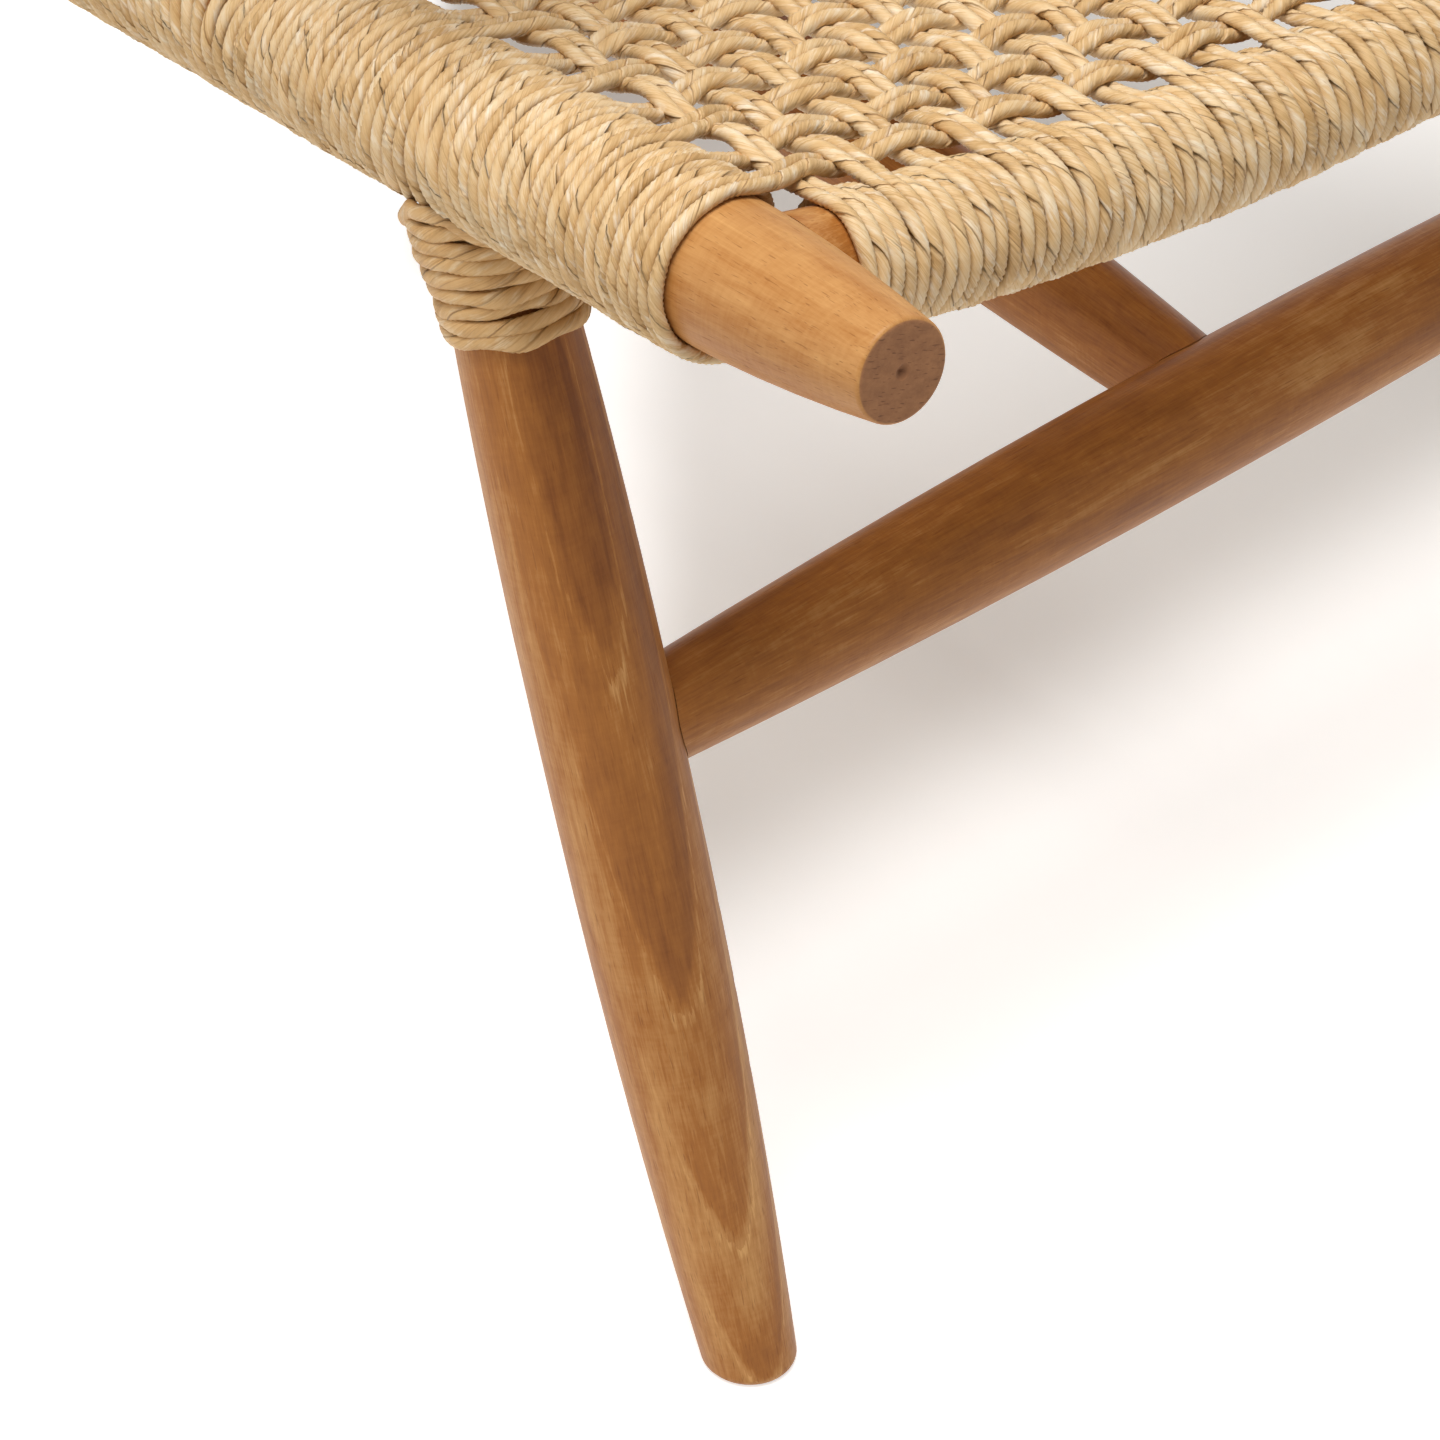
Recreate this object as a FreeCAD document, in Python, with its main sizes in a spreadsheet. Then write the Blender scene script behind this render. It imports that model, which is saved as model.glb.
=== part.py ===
# Teak garden armchair with a scooped cord seat: turned round members, tenoned into one another,
# bound with cord at the leg tops. Millimetres, +Z up. The front faces -Y, and left and right are
# as seen from the front, so the left-hand pieces are on the -X side.
import FreeCAD
import Part
import os
from math import asin, cos, degrees, hypot, pi, radians, sin, sqrt
import Sketcher
from FreeCAD import Placement, Rotation, Vector

doc = FreeCAD.newDocument("garden_armchair")
sheet = doc.addObject("Spreadsheet::Sheet", "sizes")
rows_used = 0


# One named size in the sheet
def put(alias, number, note):
    global rows_used
    rows_used += 1
    sheet.set(f"A{rows_used}", note)
    sheet.set(f"B{rows_used}", repr(float(number)))
    sheet.setAlias(f"B{rows_used}", alias)
    sheet.recompute()
    return alias


def size(alias):
    return float(sheet.get(alias))


driving_sizes = (
    ("rail_tip_half_width", 282.0, "side rail axis to the middle of the chair, at the front tip"),
    ("rail_tip_height", 430.0, "side rail axis above the floor, at the front tip"),
    ("rail_tilt", 5.8, "fall of the side rails to the back, degrees"),
    ("rail_splay", 3.8, "closing of the side rails to the back, degrees"),
    ("rail_length", 690.0, "side rail, tip to tip"),
    ("rail_diameter", 45.0, "side rail under its wrapping"),
    ("rail_tip_diameter", 31.0, "side rail at its flat ends"),
    ("rail_bare_tip", 90.0, "tapered end of a side rail"),
    ("rail_wrap_start", 74.0, "wrapping of a side rail from its tip"),
    ("tip_rounding", 1.6, "rounding of the rim of a flat end"),
    ("centre_mark_diameter", 5.2, "mark of the lathe centre in a side rail's end"),
    ("centre_mark_depth", 1.6, "depth of that mark"),
    ("cross_rail_setback", 68.5, "cross rail axis from the side rail's tip"),
    ("cross_rail_diameter", 34.4, "front and rear rail under their wrapping"),
    ("seat_dip", 37.0, "fall of the front rail's middle below its ends"),
    ("front_leg_setback", 197.0, "front leg axis from the side rail's front tip"),
    ("front_leg_rake", 123.0, "front foot ahead of its top"),
    ("rear_leg_setback", 115.0, "rear leg and back post axis from the side rail's rear tip"),
    ("rear_leg_rake", 150.0, "rear foot behind its top"),
    ("leg_neck_diameter", 32.0, "leg where it meets the side rail"),
    ("leg_belly_diameter", 44.2, "leg at its fullest"),
    ("leg_foot_diameter", 29.5, "leg at the floor"),
    ("leg_belly_drop", 190.0, "start of the fullest stretch below the rail axis, along the leg"),
    ("foot_rounding", 3.0, "rounding of the rim of a foot"),
    ("stretcher_height", 217.0, "front stretcher axis above the floor"),
    ("stretcher_neck_diameter", 31.0, "stretcher at its ends"),
    ("stretcher_belly_diameter", 44.4, "stretcher at its fullest"),
    ("rear_stretcher_room", 3.2, "bare leg between a rear leg's binding and the rear stretcher"),
    ("belly_flat", 30.0, "straight stretch at the fullest part of a turned piece"),
    ("arm_post_setback", 300.0, "arm post axis from the side rail's front tip"),
    ("arm_post_height", 200.0, "arm axis above the side rail axis, at the arm post"),
    ("arm_post_neck_diameter", 30.0, "arm post at its ends"),
    ("arm_post_belly_diameter", 36.0, "arm post at its fullest"),
    ("arm_overhang", 140.0, "arm ahead of the arm post"),
    ("arm_tilt", 4.0, "fall of the arms to the back, degrees"),
    ("arm_diameter", 42.0, "arm at its fullest"),
    ("arm_tip_diameter", 30.0, "arm at its flat front end"),
    ("arm_tip_length", 90.0, "tapered front end of an arm"),
    ("arm_neck_diameter", 30.0, "arm where it meets the back post"),
    ("back_recline", 17.0, "lean of the back posts, degrees"),
    ("back_post_length", 470.0, "back post from the side rail axis to its tip"),
    ("back_post_neck_diameter", 32.0, "back post where it meets the side rail"),
    ("back_post_belly_diameter", 42.0, "back post at its fullest"),
    ("back_post_tip_diameter", 29.0, "back post at its flat top"),
    ("back_post_belly_rise", 190.0, "start of the back post's fullest stretch above the rail axis"),
    ("back_lower_rail_rise", 110.0, "back lower rail axis above the side rail axis, along the post"),
    ("back_top_rail_rise", 418.0, "back top rail axis above the side rail axis, along the post"),
    ("back_bow", 25.0, "back rail's middle behind its ends"),
    ("tenon_diameter", 20.0, "round tenons"),
    ("tenon_length", 46.0, "tenon, with its root inside the piece that carries it"),
    ("tenon_web", 4.0, "wood left between a tenon's end and the axis of the piece it enters"),
    ("tenon_clearance", 0.1, "room round a tenon and at its end"),
    ("shoulder_clearance", 0.2, "room between a coped shoulder and the piece it sits on"),
    ("cord_width", 4.4, "cord of the bindings, along the leg"),
    ("cord_thickness", 4.0, "cord of the wrappings and bindings, off the wood"),
    ("cord_gap", 0.5, "gap between two turns of a binding"),
    ("binding_turns", 8.0, "turns of cord round a leg's top"),
    ("wrap_clearance", 0.3, "room between the cord and the pieces next to it"),
    ("wrap_shoulder", 1.0, "room between a wrapped side rail and a cross rail's wrapping"),
    ("weave_thickness", 8.0, "woven field, two cords that cross"),
    ("weave_clearance", 0.6, "room between a woven field and the wrapped rails round it"),
)
for driving_size in driving_sizes:
    put(*driving_size)
same_place = 0.01


# Places, worked out from the driving sizes
def turn_down(direction_degrees, splay_degrees=0.0):
    fall = radians(direction_degrees)
    splay = radians(splay_degrees)
    return Vector(sin(splay) * cos(fall), cos(splay) * cos(fall), -sin(fall))


def mirrored(point):
    return Vector(-point.x, point.y, point.z)


def on_rail(distance):
    return rail_tip + rail_direction * distance


rail_tip = Vector(-size("rail_tip_half_width"), 0, size("rail_tip_height"))
rail_direction = turn_down(size("rail_tilt"), size("rail_splay"))
rear_leg_place = size("rail_length") - size("rear_leg_setback")
rear_rail_place = size("rail_length") - size("cross_rail_setback")

front_leg_top = on_rail(size("front_leg_setback"))
front_foot = Vector(front_leg_top.x, front_leg_top.y - size("front_leg_rake"), 0)
rear_leg_top = on_rail(rear_leg_place)
rear_foot = Vector(rear_leg_top.x, rear_leg_top.y + size("rear_leg_rake"), 0)

front_leg_direction = (front_foot - front_leg_top).normalize()
rear_leg_direction = (rear_foot - rear_leg_top).normalize()

# Where a turned piece starts, where it is fullest and how far that is from its start
leg_turning = ("leg_neck_diameter", "leg_belly_diameter", "leg_belly_drop")
arm_post_turning = ("arm_post_neck_diameter", "arm_post_belly_diameter", "arm_post_low")
back_post_turning = ("back_post_neck_diameter", "back_post_belly_diameter", "back_post_belly_rise")

rail_wrap_radius = size("rail_diameter") / 2 + size("wrap_clearance") + size("cord_thickness")
cross_wrap_radius = size("cross_rail_diameter") / 2 + size("wrap_clearance") + size("cord_thickness")


# Radius of a turned piece at a distance from its start, up to its fullest stretch
def turned_radius(start, belly, belly_from, distance):
    neck = size(start) / 2
    fullest = size(belly) / 2
    reach = size(belly_from)
    if distance >= reach:
        return fullest
    bend = ((fullest - neck) ** 2 + reach ** 2) / (2 * (fullest - neck))
    return fullest - bend + sqrt(bend * bend - (reach - distance) ** 2)


# A leg's binding starts just clear of the wrapped side rail and runs down the leg
binding_pitch = size("cord_width") + size("cord_gap")
binding_off_wood = size("wrap_clearance") + size("cord_thickness") / 2


def binding_start(direction):
    lean = abs(direction.dot(rail_direction))
    slope = sqrt(1 - lean * lean)
    clear_of_rail = rail_wrap_radius + size("cord_width") / 2 + 2 * size("wrap_clearance")
    neck_radius = turned_radius(*leg_turning, size("rail_diameter")) + binding_off_wood
    return (clear_of_rail + neck_radius * lean) / slope


# The rear stretcher sits below the rear legs' bindings, and the middle one runs from the front one to it
front_share = 1 - size("stretcher_height") / front_leg_top.z
front_stretcher_end = front_leg_top + (front_foot - front_leg_top) * front_share
binding_length = binding_pitch * size("binding_turns") + size("cord_width") / 2
stretcher_clear = size("rear_stretcher_room") + size("stretcher_neck_diameter") / 2
rear_stretcher_drop = binding_start(rear_leg_direction) + binding_length + stretcher_clear
rear_stretcher_end = rear_leg_top + rear_leg_direction * rear_stretcher_drop
middle_front = Vector(0, front_stretcher_end.y, front_stretcher_end.z)
middle_rear = Vector(0, rear_stretcher_end.y, rear_stretcher_end.z)
middle_direction = (middle_rear - middle_front).normalize()
put("middle_stretcher_rise", degrees(asin(middle_direction.z)),
    "rise of the middle stretcher to the back, degrees")

post_direction = Vector(0, sin(radians(size("back_recline"))), cos(radians(size("back_recline"))))
back_normal = Vector(0, post_direction.z, -post_direction.y)


def on_post(distance):
    return rear_leg_top + post_direction * distance


arm_post_base = on_rail(size("arm_post_setback"))
arm_post_top = arm_post_base + Vector(0, 0, size("arm_post_height"))
arm_fall = sin(radians(size("arm_tilt"))) / cos(radians(size("arm_tilt")))
arm_drop = arm_post_top.z - rear_leg_top.z - arm_fall * (rear_leg_top.y - arm_post_top.y)
arm_rear = on_post(arm_drop / (post_direction.z + arm_fall * post_direction.y))
arm_direction = (arm_rear - arm_post_top).normalize()
arm_tip = arm_post_top - arm_direction * size("arm_overhang")


# Building blocks
def bind(piece, **cells):
    for name, expression in cells.items():
        piece.setExpression(name, expression)
    return piece


def along(start, direction):
    return Placement(start, Rotation(Vector(0, 0, 1), direction))


def origin_plane(body, role):
    return next(plane for plane in body.Origin.OriginFeatures if plane.Role == role)


# A turned piece along +Z: an arc swells from the start to the fullest stretch, another falls to the end
def turned(name, start, belly, end, belly_from, belly_to, length, rounded=()):
    body = doc.addObject("PartDesign::Body", name + "_turning")
    sketch = body.newObject("Sketcher::SketchObject", name + "_profile")
    sketch.AttachmentSupport = [(origin_plane(body, "XZ_Plane"), "")]
    sketch.MapMode = "FlatFace"
    radius_start = size(start) / 2
    radius_belly = size(belly) / 2
    radius_end = size(end) / 2
    low = size(belly_from)
    high = size(belly_to)
    top = size(length)

    def swell(step, reach):
        return (step * step + reach * reach) / (2 * step)

    up_radius = swell(radius_belly - radius_start, low)
    down_radius = swell(radius_belly - radius_end, top - high)
    up_angle = asin(low / up_radius)
    down_angle = asin((top - high) / down_radius)
    up_circle = Part.Circle(Vector(radius_belly - up_radius, low, 0), Vector(0, 0, 1), up_radius)
    down_circle = Part.Circle(Vector(radius_belly - down_radius, high, 0), Vector(0, 0, 1), down_radius)

    def line_between(*ends):
        return sketch.addGeometry(Part.LineSegment(*(Vector(across, up, 0) for across, up in ends)))

    foot_line = line_between((0, 0), (radius_start, 0))
    up_arc = sketch.addGeometry(Part.ArcOfCircle(up_circle, -up_angle, 0))
    side_line = line_between((radius_belly, low), (radius_belly, high))
    down_arc = sketch.addGeometry(Part.ArcOfCircle(down_circle, 0, down_angle))
    head_line = line_between((radius_end, top), (0, top))
    axis_line = line_between((0, top), (0, 0))
    chain = (foot_line, up_arc, side_line, down_arc, head_line, axis_line)
    for here, following in zip(chain, chain[1:] + chain[:1]):
        sketch.addConstraint(Sketcher.Constraint("Coincident", here, 2, following, 1))
    sketch.addConstraint(Sketcher.Constraint("Coincident", foot_line, 1, -1, 1))
    sketch.addConstraint(Sketcher.Constraint("Horizontal", foot_line))
    sketch.addConstraint(Sketcher.Constraint("Horizontal", head_line))
    sketch.addConstraint(Sketcher.Constraint("Vertical", side_line))
    sketch.addConstraint(Sketcher.Constraint("Vertical", axis_line))
    sketch.addConstraint(Sketcher.Constraint("Horizontal", up_arc, 3, up_arc, 2))
    sketch.addConstraint(Sketcher.Constraint("Horizontal", down_arc, 3, down_arc, 1))
    outward = (("start", foot_line, 2, start), ("belly", side_line, 1, belly), ("end", head_line, 1, end))
    for label, line, point, alias in outward:
        index = sketch.addConstraint(Sketcher.Constraint("DistanceX", -1, 1, line, point, size(alias) / 2))
        sketch.renameConstraint(index, label + "_radius")
        sketch.setExpression(f"Constraints.{label}_radius", f"sizes.{alias} / 2")
    upward = (
        ("low", side_line, 1, belly_from),
        ("high", side_line, 2, belly_to),
        ("top", head_line, 1, length),
    )
    for label, line, point, alias in upward:
        index = sketch.addConstraint(Sketcher.Constraint("DistanceY", -1, 1, line, point, size(alias)))
        sketch.renameConstraint(index, label)
        sketch.setExpression(f"Constraints.{label}", f"sizes.{alias}")
    turning = body.newObject("PartDesign::Revolution", name + "_revolution")
    turning.Profile = sketch
    turning.ReferenceAxis = (sketch, ["V_Axis"])
    turning.Angle = 360
    doc.recompute([turning])
    levels = [level for place, level in (("start", 0.0), ("end", top)) if place in rounded]

    def lies_at(edge, level):
        return max(abs(edge.BoundBox.ZMin - level), abs(edge.BoundBox.ZMax - level)) < same_place

    edges = [f"Edge{number}" for number, edge in enumerate(turning.Shape.Edges, 1)
             if any(lies_at(edge, level) for level in levels)]
    if edges:
        rounding = body.newObject("PartDesign::Fillet", name + "_rims")
        rounding.Base = (turning, edges)
        bind(rounding, Radius="sizes.tip_rounding")
    return body


def cylinder(name, start, direction, radius, height):
    piece = doc.addObject("Part::Cylinder", name)
    bind(piece, Radius=radius, Height=height)
    piece.Placement = along(start, direction)
    return piece


def joined(name, pieces):
    fuse = doc.addObject("Part::MultiFuse", name)
    fuse.Shapes = pieces
    return fuse


def cut(name, base, tools):
    piece = doc.addObject("Part::Cut", name)
    piece.Base = base
    piece.Tool = tools[0] if len(tools) == 1 else joined(name + "_tools", tools)
    return piece


# A round tenon that stops short of the axis of the piece it enters, and the mortise bored for it
def tenon(name, axis_point, direction):
    end = axis_point - direction * size("tenon_web")
    return cylinder(name + "_tenon", end, direction * -1, "sizes.tenon_diameter / 2", "sizes.tenon_length")


def mortise(name, axis_point, direction):
    end = axis_point - direction * (size("tenon_web") - size("tenon_clearance"))
    radius = "sizes.tenon_diameter / 2 + sizes.tenon_clearance"
    return cylinder(name + "_mortise", end, direction * -1, radius, "sizes.tenon_length")


# Room for a coped shoulder: the piece that is entered, a little fuller, along its own axis
def shoulder_room(name, start, end, diameter):
    length = put(name + "_room_length", (end - start).Length, "coping cylinder of " + name)
    radius = f"sizes.{diameter} / 2 + sizes.shoulder_clearance"
    return cylinder(name + "_room", start, (end - start).normalize(), radius, f"sizes.{length}")


# A bent round rail: an arc whose middle lies the given distance from its chord, towards the bow
def arc_radius(half_chord, bow_depth):
    return (half_chord * half_chord + bow_depth * bow_depth) / (2 * bow_depth)


def bent_rail(name, middle_of_ends, half_chord, bow_depth, bow, radius_expression, trim=0.0):
    ring = doc.addObject("Part::Torus", name)
    bend = arc_radius(half_chord, bow_depth)
    half_angle = degrees(asin((half_chord - trim) / bend))
    ring_radius = put(name + "_bend_radius", bend, "bend of " + name)
    ring_angle = put(name + "_bend_angle", 2 * half_angle, "angle of " + name)
    bind(ring, Radius1=f"sizes.{ring_radius}", Radius2=radius_expression, Angle3=f"sizes.{ring_angle}")
    centre = middle_of_ends + bow * (bow_depth - bend)
    across = Vector(1, 0, 0)
    facing = Rotation(bow, across, bow.cross(across), "XYZ")
    ring.Placement = Placement(centre, facing.multiply(Rotation(Vector(0, 0, 1), -half_angle)))
    return ring


def end_direction(half_chord, bow_depth, bow):
    slope = asin(half_chord / arc_radius(half_chord, bow_depth))
    return Vector(-cos(slope), 0, 0) - bow * sin(slope)


nodes = {}


def node(label, piece):
    piece.Label = label
    nodes[label] = piece
    return piece


# The right-hand piece of a pair is the left-hand one seen in the chair's middle plane
def pair(label, left_piece):
    node(label + "_left", left_piece)
    right_piece = doc.addObject("Part::Mirroring", label + "_mirror")
    right_piece.Source = left_piece
    right_piece.Base = Vector(0, 0, 0)
    right_piece.Normal = Vector(1, 0, 0)
    node(label + "_right", right_piece)


down = Vector(0, 0, -1)
to_left = Vector(-1, 0, 0)
front_rail_end = on_rail(size("cross_rail_setback"))
rear_rail_end = on_rail(rear_rail_place)
seat_bend = arc_radius(-front_rail_end.x, size("seat_dip"))
rear_dip = seat_bend - sqrt(seat_bend * seat_bend - rear_rail_end.x * rear_rail_end.x)
cross_rails = (("front_rail", front_rail_end, size("seat_dip")), ("rear_rail", rear_rail_end, rear_dip))
back_rails = (
    ("back_lower_rail", on_post(size("back_lower_rail_rise"))),
    ("back_top_rail", on_post(size("back_top_rail_rise"))),
)

# Side rails, with mortises for the legs, the posts and the cross rails, and a lathe's mark in each end
rail_belly_end = put("rail_belly_end", size("rail_length") - size("rail_bare_tip"),
                     "end of the even stretch")
rail_blank = turned("side_rail", "rail_tip_diameter", "rail_diameter", "rail_tip_diameter",
                    "rail_bare_tip", rail_belly_end, "rail_length", rounded=("start", "end"))
rail_blank.Placement = along(rail_tip, rail_direction)
rail_mortises = [
    mortise("front_leg", front_leg_top, front_leg_direction * -1),
    mortise("rear_leg", rear_leg_top, rear_leg_direction * -1),
    mortise("arm_post", arm_post_base, down),
    mortise("back_post", rear_leg_top, post_direction * -1),
]
for name, end, dip in cross_rails:
    rail_mortises.append(mortise(name, end, end_direction(-end.x, dip, down)))
centre_marks = []
for name, end, inward in (
    ("front", rail_tip, rail_direction),
    ("rear", on_rail(size("rail_length")), rail_direction * -1),
):
    mark = doc.addObject("Part::Cone", name + "_centre_mark")
    bind(mark, Radius1="sizes.centre_mark_diameter / 2", Height="sizes.centre_mark_depth")
    mark.Radius2 = 0
    mark.Placement = along(end, inward)
    centre_marks.append(mark)
pair("side_rail", cut("side_rail_bored", rail_blank, rail_mortises + centre_marks))

# Cross rails, dipped in the middle so that the seat is scooped
rail_room = shoulder_room("side_rail", rail_tip, on_rail(size("rail_length")), "rail_diameter")
rail_room_right = shoulder_room("side_rail_right", mirrored(rail_tip),
                                mirrored(on_rail(size("rail_length"))), "rail_diameter")
for name, end, dip in cross_rails:
    middle = Vector(0, end.y, end.z)
    bent = bent_rail(name + "_blank", middle, -end.x, dip, down, "sizes.cross_rail_diameter / 2")
    coped = cut(name + "_coped", bent, [rail_room, rail_room_right])
    direction = end_direction(-end.x, dip, down)
    left_tenon = tenon(name + "_left", end, direction)
    right_tenon = tenon(name + "_right", mirrored(end), mirrored(direction))
    node(name, joined(name + "_with_tenons", [coped, left_tenon, right_tenon]))

# Legs: coped under the side rail, tenoned into it and sawn level with the floor
floor_block = doc.addObject("Part::Box", "below_the_floor")
floor_span = put("floor_span", 4 * size("rail_length"), "block that levels the feet")
bind(floor_block, Length=f"sizes.{floor_span}", Width=f"sizes.{floor_span}", Height=f"sizes.{floor_span}")
floor_block.Placement.Base = Vector(-0.5, -0.5, -1) * size(floor_span)
belly_end = put("leg_belly_end", size("leg_belly_drop") + size("belly_flat"),
                "end of the leg's fullest stretch")
leg_places = (
    ("front_leg", front_leg_top, front_foot, front_stretcher_end, "front_stretcher"),
    ("rear_leg", rear_leg_top, rear_foot, rear_stretcher_end, "rear_stretcher"),
)
for name, top, foot, stretcher_end, stretcher_name in leg_places:
    direction = (foot - top).normalize()
    past_floor = size("leg_foot_diameter") * hypot(direction.x, direction.y) / -direction.z
    length = put(name + "_length", (foot - top).Length + past_floor, "blank of the " + name)
    blank = turned(name, "leg_neck_diameter", "leg_belly_diameter", "leg_foot_diameter",
                   "leg_belly_drop", belly_end, length)
    blank.Placement = along(top, direction)
    coped = cut(name + "_coped", blank,
                [floor_block, rail_room, mortise(stretcher_name + "_end", stretcher_end, to_left)])
    whole = joined(name + "_with_tenon", [coped, tenon(name, top, direction * -1)])
    doc.recompute([whole])
    rim = [(number, size("foot_rounding"), size("foot_rounding"))
           for number, edge in enumerate(whole.Shape.Edges, 1)
           if edge.BoundBox.ZMax < same_place]
    rounded_foot = doc.addObject("Part::Fillet", name + "_rounded")
    rounded_foot.Base = whole
    rounded_foot.Edges = rim
    pair(name, rounded_foot)

# Stretchers: front and rear between the legs, the middle one between those two
leg_rooms = {}
for name, top, foot, stretcher_end, stretcher_name in leg_places:
    leg_rooms[name] = [
        shoulder_room(name, top, foot, "leg_belly_diameter"),
        shoulder_room(name + "_right", mirrored(top), mirrored(foot), "leg_belly_diameter"),
    ]
stretcher_meets_middle = {"front_stretcher": middle_direction * -1, "rear_stretcher": middle_direction}
for name, top, foot, end, stretcher_name in leg_places:
    span = -2 * end.x
    length = put(stretcher_name + "_length", span, stretcher_name + " between the leg axes")
    flat_half = size("belly_flat") / 2
    belly_from = put(stretcher_name + "_low", span / 2 - flat_half, "start of its fullest stretch")
    belly_to = put(stretcher_name + "_high", span / 2 + flat_half, "end of its fullest stretch")
    blank = turned(stretcher_name, "stretcher_neck_diameter", "stretcher_belly_diameter",
                   "stretcher_neck_diameter", belly_from, belly_to, length)
    blank.Placement = along(end, Vector(1, 0, 0))
    socket = mortise(stretcher_name + "_middle", Vector(0, end.y, end.z),
                     stretcher_meets_middle[stretcher_name])
    coped = cut(stretcher_name + "_coped", blank, leg_rooms[name] + [socket])
    left_tenon = tenon(stretcher_name + "_left", end, to_left)
    right_tenon = tenon(stretcher_name + "_right", mirrored(end), to_left * -1)
    node(stretcher_name, joined(stretcher_name + "_with_tenons", [coped, left_tenon, right_tenon]))

middle_span = (middle_rear - middle_front).Length
put("middle_stretcher_length", middle_span, "middle stretcher between the stretcher axes")
put("middle_stretcher_low", (middle_span - size("belly_flat")) / 2, "start of its fullest stretch")
put("middle_stretcher_high", (middle_span + size("belly_flat")) / 2, "end of its fullest stretch")
middle_blank = turned("middle_stretcher", "stretcher_neck_diameter", "stretcher_belly_diameter",
                      "stretcher_neck_diameter", "middle_stretcher_low", "middle_stretcher_high",
                      "middle_stretcher_length")
middle_blank.Placement = along(middle_front, middle_direction)
stretcher_rooms = []
for name, top, foot, end, stretcher_name in leg_places:
    stretcher_rooms.append(shoulder_room(stretcher_name, end, mirrored(end), "stretcher_belly_diameter"))
middle_coped = cut("middle_stretcher_coped", middle_blank, stretcher_rooms)
node("middle_stretcher", joined("middle_stretcher_with_tenons", [
    middle_coped,
    tenon("middle_stretcher_front", middle_front, middle_direction * -1),
    tenon("middle_stretcher_rear", middle_rear, middle_direction),
]))

# Back posts stand on the side rails over the rear legs
post_belly_end = put("back_post_belly_end", size("back_post_belly_rise") + size("belly_flat"),
                     "end of the back post's fullest stretch")
post_blank = turned("back_post", "back_post_neck_diameter", "back_post_belly_diameter",
                    "back_post_tip_diameter", "back_post_belly_rise", post_belly_end, "back_post_length",
                    rounded=("end",))
post_blank.Placement = along(rear_leg_top, post_direction)
back_half_chord = -rear_leg_top.x
back_rail_direction = end_direction(back_half_chord, size("back_bow"), back_normal)
post_tools = [rail_room, mortise("arm", arm_rear, arm_direction)]
for name, end in back_rails:
    post_tools.append(mortise(name, end, back_rail_direction))
post_coped = cut("back_post_coped", post_blank, post_tools)
pair("back_post", joined("back_post_with_tenon",
                         [post_coped, tenon("back_post", rear_leg_top, post_direction * -1)]))

# Back rails, bowed to the back
post_top = on_post(size("back_post_length"))
post_room = shoulder_room("back_post", rear_leg_top, post_top, "back_post_belly_diameter")
post_room_right = shoulder_room("back_post_right", mirrored(rear_leg_top), mirrored(post_top),
                                "back_post_belly_diameter")
for name, end in back_rails:
    middle = Vector(0, end.y, end.z)
    bent = bent_rail(name + "_blank", middle, back_half_chord, size("back_bow"), back_normal,
                     "sizes.cross_rail_diameter / 2")
    coped = cut(name + "_coped", bent, [post_room, post_room_right])
    left_tenon = tenon(name + "_left", end, back_rail_direction)
    right_tenon = tenon(name + "_right", mirrored(end), mirrored(back_rail_direction))
    node(name, joined(name + "_with_tenons", [coped, left_tenon, right_tenon]))

# Arms: a bare tapered tip in front, a tenon into the back post behind
arm_length = (arm_rear - arm_tip).Length
put("arm_length", arm_length, "arm from its tip to the back post's axis")
put("arm_belly_end", size("arm_overhang") + size("belly_flat"), "end of the arm's fullest stretch")
arm_blank = turned("arm", "arm_tip_diameter", "arm_diameter", "arm_neck_diameter", "arm_tip_length",
                   "arm_belly_end", "arm_length", rounded=("start",))
arm_blank.Placement = along(arm_tip, arm_direction)
arm_coped = cut("arm_coped", arm_blank, [post_room, mortise("arm_post_top", arm_post_top, down * -1)])
pair("arm", joined("arm_with_tenon", [arm_coped, tenon("arm", arm_rear, arm_direction)]))

# Arm posts, between the side rails and the arms
put("arm_post_low", (size("arm_post_height") - size("belly_flat")) / 2, "start of its fullest stretch")
put("arm_post_high", (size("arm_post_height") + size("belly_flat")) / 2, "end of its fullest stretch")
arm_post_blank = turned("arm_post", "arm_post_neck_diameter", "arm_post_belly_diameter",
                        "arm_post_neck_diameter", "arm_post_low", "arm_post_high", "arm_post_height")
arm_post_blank.Placement = along(arm_post_base, down * -1)
arm_room = shoulder_room("arm", arm_tip, arm_rear, "arm_diameter")
arm_post_coped = cut("arm_post_coped", arm_post_blank, [rail_room, arm_room])
pair("arm_post", joined("arm_post_with_tenons", [
    arm_post_coped,
    tenon("arm_post_foot", arm_post_base, down),
    tenon("arm_post_head", arm_post_top, down * -1),
]))

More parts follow.
